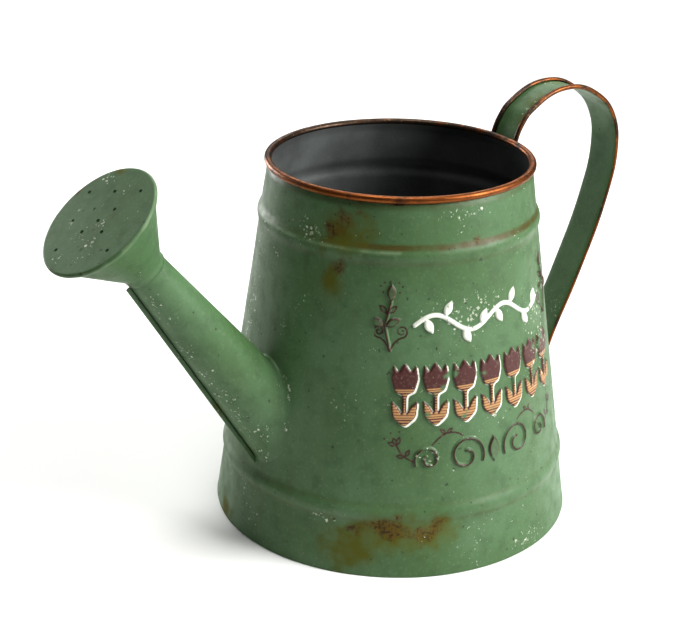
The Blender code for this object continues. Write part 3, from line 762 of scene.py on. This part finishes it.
def ornament_figures():
    """Every figure as (kind, outline or line, width, place along the wall, height)."""
    groups = [(scroll_flourish(side), 0.0, SCROLL_HEIGHT) for side in (-1, 1)]
    groups += [(sprig_flourish(side), side * SPRIG_SPREAD, SPRIG_HEIGHT) for side in (-1, 1)]
    figures = []
    for group, along, level in groups:
        for kind, shape in group:
            figures.append((kind, shape, PRINT_LINE if kind == "stem" else 0.0, along, level))
    for index in range(TULIP_COUNT):
        along = (index - (TULIP_COUNT - 1) / 2) * TULIP_PITCH
        figures.append(("tulip", tulip_outline(), 0.0, along, TULIP_HEIGHT))
    drop = leaf(DROP_LENGTH, DROP_WIDTH, pi / 2, (0.0, -DROP_LENGTH / 2))
    figures.append(("drop", drop, 0.0, 0.0, SCROLL_HEIGHT))
    for side in (-1, 1):
        for turned_to, radius, turns, spread in (
                (side, SCROLL_RADIUS, SCROLL_TURNS, SCROLL_SPREAD),
                (-side, SIDE_SCROLL_RADIUS, SIDE_SCROLL_TURNS, SIDE_SCROLL_SPREAD)):
            line = scroll(turned_to, radius, turns)
            figures.append(("scroll", line, LINE_WIDTH, side * spread, SCROLL_HEIGHT))
    along = np.linspace(-0.5, 0.5, 60) * VINE_LENGTH
    vine = np.stack([along, vine_swing(along)], axis=1)
    figures.append(("vine", vine, VINE_WIDTH, 0.0, VINE_HEIGHT))
    for index in range(VINE_LEAVES):
        x = VINE_LENGTH * ((index + 0.5) / VINE_LEAVES - 0.5)
        lift = LEAF_LIFT if index % 2 else -LEAF_LIFT
        shape = leaf(LEAF_LENGTH, LEAF_WIDTH, lift, (0.0, vine_swing(x)))
        figures.append(("vine leaf", shape, 0.0, x, VINE_HEIGHT))
    for side in (-1, 1):
        along = side * SPRIG_SPREAD
        stem = np.array([(0.0, 0.0), (side * SPRIG_BEND, SPRIG_LENGTH / 2), (0.0, SPRIG_LENGTH)])
        figures.append(("sprig", stem, LINE_WIDTH, along, SPRIG_HEIGHT))
        for start, lift in ((1, SPRIG_LEAF_LIFT), (1, pi - SPRIG_LEAF_LIFT), (2, pi / 2)):
            shape = leaf(LEAF_LENGTH, LEAF_WIDTH, lift, stem[start])
            figures.append(("sprig leaf", shape, 0.0, along, SPRIG_HEIGHT))
    return figures


def figure_paint(kind, shape, width, x, y, here):
    """How far the paint of a figure covers each point, and its colour there."""
    cover = fade(here, *PRINT_EDGE)
    if kind.startswith("vine"):
        return cover, CREAM
    if kind == "tulip":
        fill = np.tile(BURGUNDY, (len(here), 1))
        hatched = (y < HATCH_TOP) & (here > HATCH_INSET)
        fill[hatched & (np.mod(y, HATCH_PITCH) < HATCH_SHARE * HATCH_PITCH)] = TAN
        dropped = figure_depth(shape, width, x - EDGE_LINE, y + EDGE_LINE)
        line = fade(dropped, *PRINT_EDGE) * (1 - cover)
        fill = np.where(line[:, None] > cover[:, None], CREAM, fill)
        return np.maximum(cover, line), fill
    if width:
        return fade(here - (width - PRINT_LINE) / 2, *PRINT_EDGE), UMBER
    outline = fade(np.abs(here - OUTLINE_INSET), *OUTLINE_EDGE)
    return np.maximum(outline, FAINT_FILL * cover), UMBER


def ornament_sheet():
    """The skin, with its paint's colour and cover stored at every vertex."""
    columns = round(2 * ORNAMENT_HALF_SWEEP / ORNAMENT_CELL)
    rows = round((ORNAMENT_TOP - ORNAMENT_BOTTOM) / ORNAMENT_CELL)
    sweep = np.linspace(-ORNAMENT_HALF_SWEEP, ORNAMENT_HALF_SWEEP, columns)
    turns = ORNAMENT_AZIMUTH + sweep / wall_radius(TULIP_HEIGHT)
    azimuth, height = np.meshgrid(turns, np.linspace(ORNAMENT_BOTTOM, ORNAMENT_TOP, rows))
    depth = np.full(azimuth.shape, -1.0)
    painted = np.zeros(azimuth.shape)
    colour = np.ones((*azimuth.shape, 4))
    colour[..., :3] = 0.0
    for kind, shape, width, along, level in ornament_figures():
        x = (azimuth - ORNAMENT_AZIMUTH) * wall_radius(level) - along
        y = height - level
        low = shape.min(axis=0) - FIGURE_MARGIN
        high = shape.max(axis=0) + FIGURE_MARGIN
        near = (x > low[0]) & (x < high[0]) & (y > low[1]) & (y < high[1])
        here = figure_depth(shape, width, x[near], y[near])
        if kind not in ("stem", "bud"):
            depth[near] = np.maximum(depth[near], here)
        cover, fill = figure_paint(kind, shape, width, x[near], y[near], here)
        shown = (cover > painted[near])[:, None]
        colour[near, :3] = np.where(shown, fill, colour[near, :3])
        painted[near] = np.maximum(painted[near], cover)
    raised = (ORNAMENT_RELIEF + SUNK) * fade(depth, -0.0006, FLANK - 0.0002) - SUNK
    raised = np.where(painted > 0.05, np.maximum(raised, PAINT_LIFT), raised)
    points = wall_points(wall_radius(height) + raised, azimuth, height)
    sheet = lattice("stamped_ornament", points, loop_columns=False)
    for layer, kind, key, values in (("print_cover", "FLOAT", "value", painted),
                                     ("print", "FLOAT_COLOR", "color", colour)):
        attribute = sheet.data.attributes.new(layer, kind, "POINT")
        attribute.data.foreach_set(key, values.reshape(-1).astype(np.float32))
    work = bmesh.new()
    work.from_mesh(sheet.data)
    work.verts.ensure_lookup_table()
    sunk = (raised <= -SUNK * 0.999).reshape(-1)
    hidden = [face for face in work.faces if all(sunk[v.index] for v in face.verts)]
    bmesh.ops.delete(work, geom=hidden, context="FACES")
    work.to_mesh(sheet.data)
    work.free()
    return sheet


ornament = ornament_sheet()
ornament.data.materials.append(enamel)
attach(ornament, "root")

# Bottom disc: a shallow pan of the same sheet, gripped by the wall's hem and lacquered charcoal
# with the inside of the can.
bottom_disc = bpy.data.objects["bottom_disc"]
for slot in bottom_disc.material_slots:
    slot.material = charcoal

# Spout: one tapered sheet rolled into a cone, its edges folded together as a standing fin along
# the underside, and its flared foot soldered to the wall under the same green enamel.
FIN_HEIGHT = 0.0024
FIN_THICKNESS = 0.0010
FIN_NECK = 0.35
FIN_ROUNDING = 0.7
FIN_DIP = 0.0107
FOOT_SPREAD = 0.0034
FOOT_UNEVEN = 0.35
FOOT_WAVES = 160
FOOT_RISE = 0.0050
FOOT_TUCK = 0.0006
SPOUT_COLUMNS = 160
ROSE_ELEVATION = radians(51.0)
ROSE_GRIP = 0.0025
COLLAR_LENGTH = 0.0016
ROSE_SEAT = SPOUT_LENGTH - ROSE_GRIP
ROSE_DROOP = SPOUT_ELEVATION - ROSE_ELEVATION


def spout_point(turn, along, out=0.0):
    radius = spout_radius(along) + out
    return spout_place @ Vector((radius * cos(turn), radius * sin(turn), along))


def above_wall(point):
    """Distance of a point from the wall's outer face."""
    reach = hypot(point.x - AXIS_X, point.y)
    return (reach - wall_radius(point.z) - float(bead_relief(point.z))) * cos(WALL_LEAN)


def foot_along(turn, out=0.0):
    """Where a straight line up the spout's side leaves the wall."""
    low, high = -0.030, 0.060
    for _ in range(30):
        middle = (low + high) / 2
        if above_wall(spout_point(turn, middle, out)) < 0:
            low = middle
        else:
            high = middle
    return high


def on_face(point, lift):
    """The point moved straight out or in until it stands lift above the wall's dented face."""
    azimuth = atan2(point.y, point.x - AXIS_X)
    radius = wall_radius(point.z) + float(bead_relief(point.z)) + lift / cos(WALL_LEAN)
    return Vector(wall_points(radius, azimuth, point.z))


def spout_column(turn):
    """Outline of the spout's sheet along one straight line of its side, foot to tip and back."""
    foot = foot_along(turn)
    contact = spout_point(turn, foot)
    out = spout_place.to_3x3() @ Vector((cos(turn), sin(turn), 0.0))
    spread = FOOT_SPREAD * (1 + FOOT_UNEVEN * noise.noise(contact * FOOT_WAVES))
    start = spout_point(turn, foot + FOOT_RISE)
    seat = on_face(contact + out * spread, 0.00002)
    corner = on_face(contact, 0.0001)
    column = [on_face(contact + out * (spread + FOOT_TUCK), -0.0002)]
    column += [bend(seat, corner, start, step / 10) for step in range(11)]
    for t in np.linspace(0.04, 1.0, 30):
        column.append(spout_point(turn, foot + FOOT_RISE + (SPOUT_LENGTH - foot - FOOT_RISE) * t))
    column.append(spout_point(turn, SPOUT_LENGTH, -SHEET))
    for t in np.linspace(0.96, 0.0, 12):
        column.append(spout_point(turn, foot + (SPOUT_LENGTH - foot) * t, -SHEET))
    return column


def fin_points():
    """Standing seam: two edges folded together, with a narrow neck where they leave the cone."""
    end = ROSE_SEAT - COLLAR_LENGTH / 2 - FIT_GAP - FIN_DIP * sin(ROSE_DROOP)
    start = foot_along(pi, FIN_HEIGHT) + FIT_GAP
    root_start = foot_along(pi) + FIT_GAP
    half = FIN_THICKNESS / 2
    crown = FIN_ROUNDING * half
    shoulder = FIN_HEIGHT - crown
    side = [(half, shoulder), (half, 0.0006), (FIN_NECK * half, 0.0004), (FIN_NECK * half, -0.0003)]
    section = [(-across, up) for across, up in reversed(side)]
    section += [(half * cos(a), shoulder + crown * sin(a))
                for a in np.radians(np.linspace(150, 30, 5))]
    section += side
    rows = []
    for t in np.linspace(0.0, 1.0, 40):
        row = []
        for across, up in section:
            foot = root_start + (start - root_start) * max(up, 0.0) / FIN_HEIGHT
            along = foot + (end - foot) * t
            row.append(spout_place @ Vector((-spout_radius(along) - up, across, along)))
        rows.append(row)
    return np.array(rows)


def seam_painted_shadow(x, y, z):
    """Near-black painted shadow in the crease between the seam and the cone."""
    local = np.array(spout_place.inverted()) @ np.stack([x, y, z, np.ones_like(x)])
    up = np.hypot(local[0], local[1]) - spout_radius(local[2])
    return fade(up, 0.0007, 0.0003)


def on_spout(turn, along):
    return spout_point(radians(turn), along)


SPOUT_STAINS = (
    (-70, 0.004, 0.0060, 0.0060),
    (150, 0.030, 0.0120, 0.0120),
)
SPOUT_CORES = (
    (-64, 0.013, 0.0016, 0.0030),
    (150, 0.026, 0.0040, 0.0050),
)
SPOUT_FLAKED = (
    (-139, 0.103, 0.0072, 0.0072),
    (-140, 0.092, 0.0087, 0.0087),
    (-155, 0.072, 0.0087, 0.0130),
    (-149, 0.055, 0.0101, 0.0116),
    (-145, 0.040, 0.0101, 0.0116),
    (-146, 0.028, 0.0101, 0.0116),
    (-139, 0.014, 0.0116, 0.0116),
    (-159, 0.000, 0.0087, 0.0087),
    (-50, 0.025, 0.0060, 0.0060),
    (-60, 0.018, 0.0080, 0.0110),
    (-95, 0.010, 0.0070, 0.0060),
    (-84, 0.1165, 0.0058, 0.0043),
    (60, 0.050, 0.0116, 0.0145),
    (140, 0.090, 0.0101, 0.0116),
)

columns = [spout_column(turn) for turn in np.arange(SPOUT_COLUMNS) * tau / SPOUT_COLUMNS]
spout = lattice("spout", np.array(columns).transpose(1, 0, 2), loop_rows=True)
seam = lattice("spout_seam", fin_points())
close_up(seam.data)
seam.data.shade_smooth()
seam.data.set_sharp_from_angle(angle=SHARP_EDGE)
# Near-black painted shadow along the crease where the seam leaves the cone
paint_values(seam, "crease", seam_painted_shadow)
spout_enamel = weathered_enamel(
    "spout_green_enamel", on_spout, SPOUT_STAINS, SPOUT_CORES, SPOUT_FLAKED)
for piece in (spout, seam):
    piece.data.materials.append(spout_enamel)
    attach(piece, "root")
    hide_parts("spout_tube")

# Rose: a flared shell of painted sheet that slips over the spout's tip, closed by a punched plate
# whose edge is crimped over the shell's mouth. A few holes are clogged with paint: a shallow
# dimple is left of two, and nothing of the third.
ROSE_LENGTH = 0.0332
ROSE_RADIUS = 0.0290
ROSE_SKIRT = 0.0026
ROSE_COLUMNS = 176
CRIMP_RADIUS = 0.0009
HOLE_RADIUS = 0.00085
HOLE_SIDES = 24
HOLE_RINGS = (
    (0.0000, 1, 0.0),
    (0.0085, 4, radians(66)),
    (0.0156, 4, radians(21)),
    (0.0220, 4, radians(66)),
)
CLOGGED = {(1, 0): 0.00022, (2, 2): 0.00018, (2, 3): 0.0}
PUNCH_LENGTH = 6 * SHEET
rose_turn = Matrix.Rotation(-ROSE_DROOP, 4, "Y")
rose_place = spout_place @ Matrix.Translation((0.0, 0.0, ROSE_SEAT)) @ rose_turn

# Middle of the lip's sheet, drawn in until paint bridges it and the spout
lip = COLLAR_LENGTH / 2
COLLAR_RADIUS = spout_radius(ROSE_SEAT - lip) + lip * sin(ROSE_DROOP) + SHEET / 2
ROSE_SLOPE = (ROSE_RADIUS - COLLAR_RADIUS) / (ROSE_LENGTH - lip)


def shell_line():
    """Middle of the shell's sheet from its mouth back to the lip of its collar."""
    face = ROSE_LENGTH - SHEET / 2
    mouth = face - SHEET - FIT_GAP
    inset = (SHEET + FIT_GAP) * sqrt(1 + ROSE_SLOPE * ROSE_SLOPE)
    mouth_radius = ROSE_RADIUS - SHEET / 2 - ROSE_SLOPE * (face - HEM_ROUND - mouth) - inset
    neck = mouth - (mouth_radius - COLLAR_RADIUS) / ROSE_SLOPE
    line = []
    for t in np.linspace(0.0, 0.96, 16):
        line.append((mouth_radius + (COLLAR_RADIUS - mouth_radius) * t, mouth + (neck - mouth) * t))
    start = Vector(line[-1])
    corner = Vector((COLLAR_RADIUS, neck))
    last = Vector((COLLAR_RADIUS, -COLLAR_LENGTH / 2))
    line += [tuple(bend(start, corner, last, t)) for t in np.linspace(0.2, 1.0, 5)]
    return line


def plate_line():
    """Middle of the plate's sheet from its centre, over the crimped edge and down the skirt."""
    face = ROSE_LENGTH - SHEET / 2
    edge = ROSE_RADIUS - SHEET / 2
    line = [(0.00001 + radius, face) for radius in np.linspace(0.0, edge - 0.0013, 26)]
    line += arc((edge - CRIMP_RADIUS, face - CRIMP_RADIUS), CRIMP_RADIUS, 80, -10, 8)
    line.append((edge - ROSE_SLOPE * ROSE_SKIRT, face - HEM_ROUND - ROSE_SKIRT))
    return line


def node_group(name, inputs):
    """Empty Geometry Nodes group with (name, kind) inputs and a geometry to give back."""
    group = bpy.data.node_groups.new(name, "GeometryNodeTree")
    for label, kind in inputs:
        group.interface.new_socket(label, in_out="INPUT", socket_type="NodeSocket" + kind)
    group.interface.new_socket("Result", in_out="OUTPUT", socket_type="NodeSocketGeometry")
    return group


def grow(item, group, values):
    """Run a node group on a piece for good, its inputs set by their identifiers."""
    growth = item.modifiers.new(group.name, "NODES")
    growth.node_group = group
    for socket in group.interface.items_tree:
        if socket.name in values:
            growth[socket.identifier] = values[socket.name]
    bake(item)


def punch_tree():
    """Geometry Nodes that set one punch on every hole centre of the plate."""
    group = node_group("rose_punches", (
        ("Centres", "Geometry"), ("Hole radius", "Float"), ("Depth", "Float")))
    given = add(group, "NodeGroupInput").outputs
    punch = add(group, "GeometryNodeMeshCylinder", {
        "Vertices": HOLE_SIDES,
        "Radius": given["Hole radius"],
        "Depth": given["Depth"],
    })
    copies = add(group, "GeometryNodeInstanceOnPoints", {
        "Points": given["Centres"],
        "Instance": punch,
    })
    real = add(group, "GeometryNodeRealizeInstances", {0: copies})
    dressed = add(group, "GeometryNodeSetMaterial", {"Geometry": real, "Material": rose_enamel})
    add(group, "NodeGroupOutput", {0: dressed})
    return group


def crimp_rub_and_highlight(x, y, z):
    """Pale crimped edge, strongest on one side: a painted highlight and paint worn off where
    handled.
    """
    edge = fade(np.abs(np.hypot(x, y) - ROSE_RADIUS + 0.0003), 0.0009, 0.0002)
    return edge * (0.3 + 0.4 * fade(-y, 0.002, 0.016))


def on_rose(radius, turn, height=ROSE_LENGTH):
    angle = radians(turn)
    return rose_place @ Vector((radius * cos(angle), radius * sin(angle), height))


ROSE_STAINS = (
    (0.0275, 30, 0.0040, 0.0040),
)
ROSE_CORES = (
    (0.0285, 75, 0.0020, 0.0020),
)
ROSE_FLAKED = (
    (0.0246, 41, 0.0078, 0.0078),
    (0.0215, -4, 0.0054, 0.0054),
    (0.0173, 1, 0.0045, 0.0045),
    (0.0040, -90, 0.0054, 0.0054),
    (0.0116, -146, 0.0063, 0.0063),
    (0.0185, -140, 0.0051, 0.0051),
    (0.0177, 90, 0.0045, 0.0045),
    (0.0162, 117, 0.0039, 0.0039),
    (0.0240, 170, 0.0060, 0.0060),
    (0.01253, -151.39, 0.0080, 0.0090, 0.0090),
)
rose_enamel = weathered_enamel("rose_green_enamel", on_rose, ROSE_STAINS, ROSE_CORES, ROSE_FLAKED)

shell, plate = (
    lattice(name, revolve(thick_loop(line[::-1], SHEET), ROSE_COLUMNS), loop_rows=True)
    for name, line in (("rose_shell", shell_line()), ("rose_plate", plate_line())))
centres = []
for ring, (radius, count, turn) in enumerate(HOLE_RINGS):
    for index in range(count):
        angle = turn + index * tau / count
        clogged = (ring, index) in CLOGGED
        lift = PUNCH_LENGTH / 2 - CLOGGED[ring, index] if clogged else 0.0
        centres.append((radius * cos(angle), radius * sin(angle), ROSE_LENGTH + lift))
punches = place("rose_punches", bpy.data.meshes.new("hole_centres"))
punches.data.from_pydata(centres, [], [])
grow(punches, punch_tree(), {"Hole radius": HOLE_RADIUS, "Depth": PUNCH_LENGTH})
cut(plate, punches)
# Pale crimped edge: a painted highlight and worn paint
paint_values(plate, "rub_and_highlight", crimp_rub_and_highlight)
for piece in (shell, plate):
    piece.data.transform(rose_place)
    piece.data.materials.clear()
    piece.data.materials.append(rose_enamel)
    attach(piece, "root")
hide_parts("rose_cone")
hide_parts("rose_face")

# Handle: one strip with both long edges rolled outwards over themselves, bent into a loop that is
# spot-welded under the rim and ends in a curled tail on the lower bead.
STRAP_WIDTH = 0.0190
STRAP_HEM_RADIUS = 0.0012
STRAP_FLAT = STRAP_WIDTH / 2 - STRAP_HEM_RADIUS
STRAP_FOOT = (0.1585, 0.1700)
STRAP_ARCH = (
    (0.0693, 0.1822),
    (0.0752, 0.1886),
    (0.0974, 0.1965),
    (0.1191, 0.1897),
    (0.1311, 0.1763),
    (0.1342, 0.1591),
    (0.1292, 0.1347),
    (0.1123, 0.0939),
    (0.0962, 0.0612),
)
TAIL_RADIUS = 0.0081
TAIL_SWEEP = radians(205)
TAIL_DROP = 0.0030
TAIL_POINTS = 5
STRAP_EASE = 0.03
STRAP_SPACING = 0.0011


def strap_seat(radius):
    reach = radius + FIT_GAP + STRAP_HEM_RADIUS
    return sqrt(reach * reach - STRAP_FLAT * STRAP_FLAT) + STRAP_HEM_RADIUS - SHEET / 2


def strap_route():
    """Middle of the strip as (distance from the can's axis, height)."""
    route = [(strap_seat(wall_radius(height)), height) for height in STRAP_FOOT]
    route.append((strap_seat(RIM_RADIUS + RIM_TUBE), RIM_HEIGHT))
    route += STRAP_ARCH
    reach = wall_radius(LOW_BEAD) + BEAD_RELIEF + SHEET + FIT_GAP + SHEET / 2 + TAIL_RADIUS
    for step in range(TAIL_POINTS):
        angle = pi - WALL_LEAN + TAIL_SWEEP * step / (TAIL_POINTS - 1)
        height = LOW_BEAD - TAIL_DROP + TAIL_RADIUS * sin(angle)
        route.append((reach + TAIL_RADIUS * cos(angle), height))
    return route


def strap_section():
    """Closed outline of the strip's section, its rolled edges towards -X."""
    roll = STRAP_HEM_RADIUS - SHEET / 2
    right = [(-roll - roll * sin(a), STRAP_FLAT + roll * cos(a))
             for a in np.radians(np.linspace(-90, 190, 15))]
    left = [(x, -y) for x, y in reversed(right)]
    web = [(0.0, y) for y in np.linspace(-STRAP_FLAT, STRAP_FLAT, 9)[1:-1]]
    return thick_loop(left + web + right, SHEET)


def flat_curve(name, points, kind, closed):
    data = bpy.data.curves.new(name, "CURVE")
    data.dimensions = "2D"
    data.fill_mode = "NONE"
    data.resolution_u = 24
    spline = data.splines.new(kind)
    targets = spline.bezier_points if kind == "BEZIER" else spline.points
    targets.add(len(points) - 1)
    for target, (x, y) in zip(targets, points):
        if kind == "BEZIER":
            target.co = (x, y, 0.0)
            target.handle_left_type = "AUTO"
            target.handle_right_type = "AUTO"
        else:
            target.co = (x, y, 0.0, 1.0)
    spline.use_cyclic_u = closed
    return place(name, data)


def strap_tree():
    """Geometry Nodes that draw the section along the route, then stand the route upright."""
    group = node_group("strap_sweep", (
        ("Geometry", "Geometry"), ("Route", "Object"), ("Section", "Object"),
        ("Spacing", "Float"), ("Axis", "Float")))
    given = add(group, "NodeGroupInput").outputs
    route = add(group, "GeometryNodeObjectInfo", {"Object": given["Route"]})
    section = add(group, "GeometryNodeObjectInfo", {"Object": given["Section"]})
    marked = add(group, "GeometryNodeStoreNamedAttribute", {
        "Geometry": section.outputs["Geometry"],
        "Name": "section_spot",
        "Value": add(group, "GeometryNodeInputPosition"),
    }, data_type="FLOAT_VECTOR", domain="POINT")
    even = add(group, "GeometryNodeResampleCurve", {
        "Curve": route.outputs["Geometry"],
        "Length": given["Spacing"],
    }, mode="LENGTH")
    upright = add(group, "GeometryNodeSetCurveNormal", {"Curve": even}, mode="Z_UP")
    swept = add(group, "GeometryNodeCurveToMesh", {
        "Curve": upright,
        "Profile Curve": marked,
        "Fill Caps": True,
    })
    stood = add(group, "GeometryNodeTransform", {
        "Geometry": swept,
        "Translation": add(group, "CombineXYZ", {"X": given["Axis"]}),
        "Rotation": (pi / 2, 0.0, 0.0),
    })
    real = add(group, "GeometryNodeRealizeInstances", {0: stood})
    dressed = add(group, "GeometryNodeSetMaterial", {"Geometry": real, "Material": handle_enamel})
    add(group, "NodeGroupOutput", {0: dressed})
    return group


def drawn_in(values, limit):
    """The outermost bend eased back to a limit, over the last few centimetres."""
    share = np.clip((values - limit + STRAP_EASE) / STRAP_EASE, 0.0, 1.0)
    return values - max(values.max() - limit, 0.0) * share ** 2


def strap_copper(x, y, z):
    """Bare metal on both rolled edges, and just over their bends on the strip's smooth side."""
    section = read_spots(strap.data.attributes["section_spot"].data, "vector")
    rolled = fade(-section[:, 0], 0.0002, 0.0005)
    half = STRAP_WIDTH / 2
    return np.maximum(rolled, fade(np.abs(section[:, 1]), half - 0.0008, half - 0.0004))


def strap_tarnish(x, y, z):
    """Olive-black tarnish on the rising part, next to the can."""
    return 0.45 + 0.45 * fade(x - AXIS_X, 0.095, 0.070)


def on_strap(distance, across, height):
    return (AXIS_X + distance, across, height)


HANDLE_STAINS = (
    (0.070, -0.0085, 0.183, 0.0060, 0.0100),
    (0.082, -0.0085, 0.192, 0.0100, 0.0060),
    (0.096, 0.0, 0.030, 0.0100, 0.0080),
)
HANDLE_CORES = (
    (0.069, -0.0070, 0.178, 0.0030, 0.0050),
    (0.100, 0.004, 0.026, 0.0040, 0.0030),
)
HANDLE_FLAKED = (
    (0.074, -0.0065, 0.1870, 0.0090, 0.0050),
    (0.082, -0.0075, 0.1925, 0.0090, 0.0040),
    (0.100, 0.0060, 0.1975, 0.0080, 0.0050),
)
handle_enamel = weathered_enamel(
    "handle_green_enamel", on_strap, HANDLE_STAINS, HANDLE_CORES, HANDLE_FLAKED)

route_curve = flat_curve("strap_route", strap_route(), "BEZIER", False)
section_curve = flat_curve("strap_section", strap_section(), "POLY", True)
strap = place("handle", bpy.data.meshes.new("handle"))
grow(strap, strap_tree(), {
    "Route": route_curve,
    "Section": section_curve,
    "Spacing": STRAP_SPACING,
    "Axis": AXIS_X,
})
bpy.data.objects.remove(route_curve)
bpy.data.objects.remove(section_curve)
strap_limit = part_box("handle_strap")[1]
strap_spots = read_spots(strap.data.vertices, "co")
for axis in (0, 2):
    strap_spots[:, axis] = drawn_in(strap_spots[:, axis], strap_limit[axis])
strap.data.vertices.foreach_set("co", strap_spots.reshape(-1))
close_up(strap.data)
paint_values(strap, "copper", strap_copper)
paint_values(strap, "darkening", strap_tarnish)
strap.data.attributes.remove(strap.data.attributes["section_spot"])
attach(strap, "root")
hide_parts("handle_strap")

# Studio: a round floor of matt pale paper, broad soft lights and a camera at the portrait's angle.
# The air round it is white to the camera and dim as a light, so the floor's edge isn't seen.
FLOOR_RADIUS = 0.75
FLOOR_SIDES = 96
CAMERA_SPOT = Vector((-0.4426, -0.5855, 0.4055))
CAMERA_HEADING = radians(-36.8)
CAMERA_DIP = 0.3909
CAMERA_ROLL = 0.0207
CAMERA_LENS = 85.08
AIR_LIGHT = 0.075
BACKDROP = 1.0
LIT_SPOT = (0.0, 0.0, 0.09)

turns = np.arange(FLOOR_SIDES) * tau / FLOOR_SIDES
floor_edge = [(FLOOR_RADIUS * cos(turn), FLOOR_RADIUS * sin(turn), 0.0) for turn in turns]
floor = place("studio_floor", bpy.data.meshes.new("studio_floor"))
floor.data.from_pydata(floor_edge, [], [tuple(range(FLOOR_SIDES))])
# Matt paper: an even, almost white ground that only carries the can's soft shadow
floor_paint = bpy.data.materials.new("matt_paper")
floor_paint.use_nodes = True
paper = floor_paint.node_tree.nodes["Principled BSDF"]
paper.inputs["Base Color"].default_value = shade("#f0f0ee")
paper.inputs["Roughness"].default_value = 0.9
floor.data.materials.append(floor_paint)

camera = place("camera", bpy.data.cameras.new("camera"))
camera.data.lens = CAMERA_LENS
camera.data.sensor_width = 36.0
heading = Matrix.Rotation(CAMERA_HEADING, 4, "Z")
aim = heading @ Matrix.Rotation(pi / 2 - CAMERA_DIP, 4, "X")
camera.matrix_world = Matrix.Translation(CAMERA_SPOT) @ aim @ Matrix.Rotation(CAMERA_ROLL, 4, "Z")
bpy.context.scene.camera = camera


def soft_light(name, right, forward, up, size, power, target=LIT_SPOT):
    """Square light placed and aimed as the camera sees it: to its right, ahead of it, and up."""
    lamp = place(name, bpy.data.lights.new(name, "AREA"))
    lamp.data.size = size
    lamp.data.energy = power
    lamp.location = heading @ Vector((right, forward, up))
    ray = heading @ Vector(target) - lamp.location
    lamp.rotation_euler = ray.to_track_quat("-Z", "Y").to_euler()


soft_light("key", 1.15, -0.35, 0.75, 0.7, 25.0)
soft_light("fill", -0.95, 0.95, 0.28, 0.5, 8.5)
soft_light("top", 0.0, -0.05, 1.5, 0.7, 12.5)
soft_light("floor_wash", 0.0, 2.2, 1.6, 2.0, 60.0, (0.0, 2.6, 0.0))
world = bpy.data.worlds.new("studio_air")
bpy.context.scene.world = world
world.use_nodes = True
seen = add(world.node_tree, "LightPath").outputs["Is Camera Ray"]
strength = add(world.node_tree, "MapRange", {0: seen, 3: AIR_LIGHT, 4: BACKDROP})
air = world.node_tree.nodes["Background"]
air.inputs["Color"].default_value = (1.0, 1.0, 1.0, 1.0)
world.node_tree.links.new(strength.outputs[0], air.inputs["Strength"])
bpy.context.scene.view_settings.view_transform = "Standard"
bpy.context.scene.view_settings.look = "Medium High Contrast"
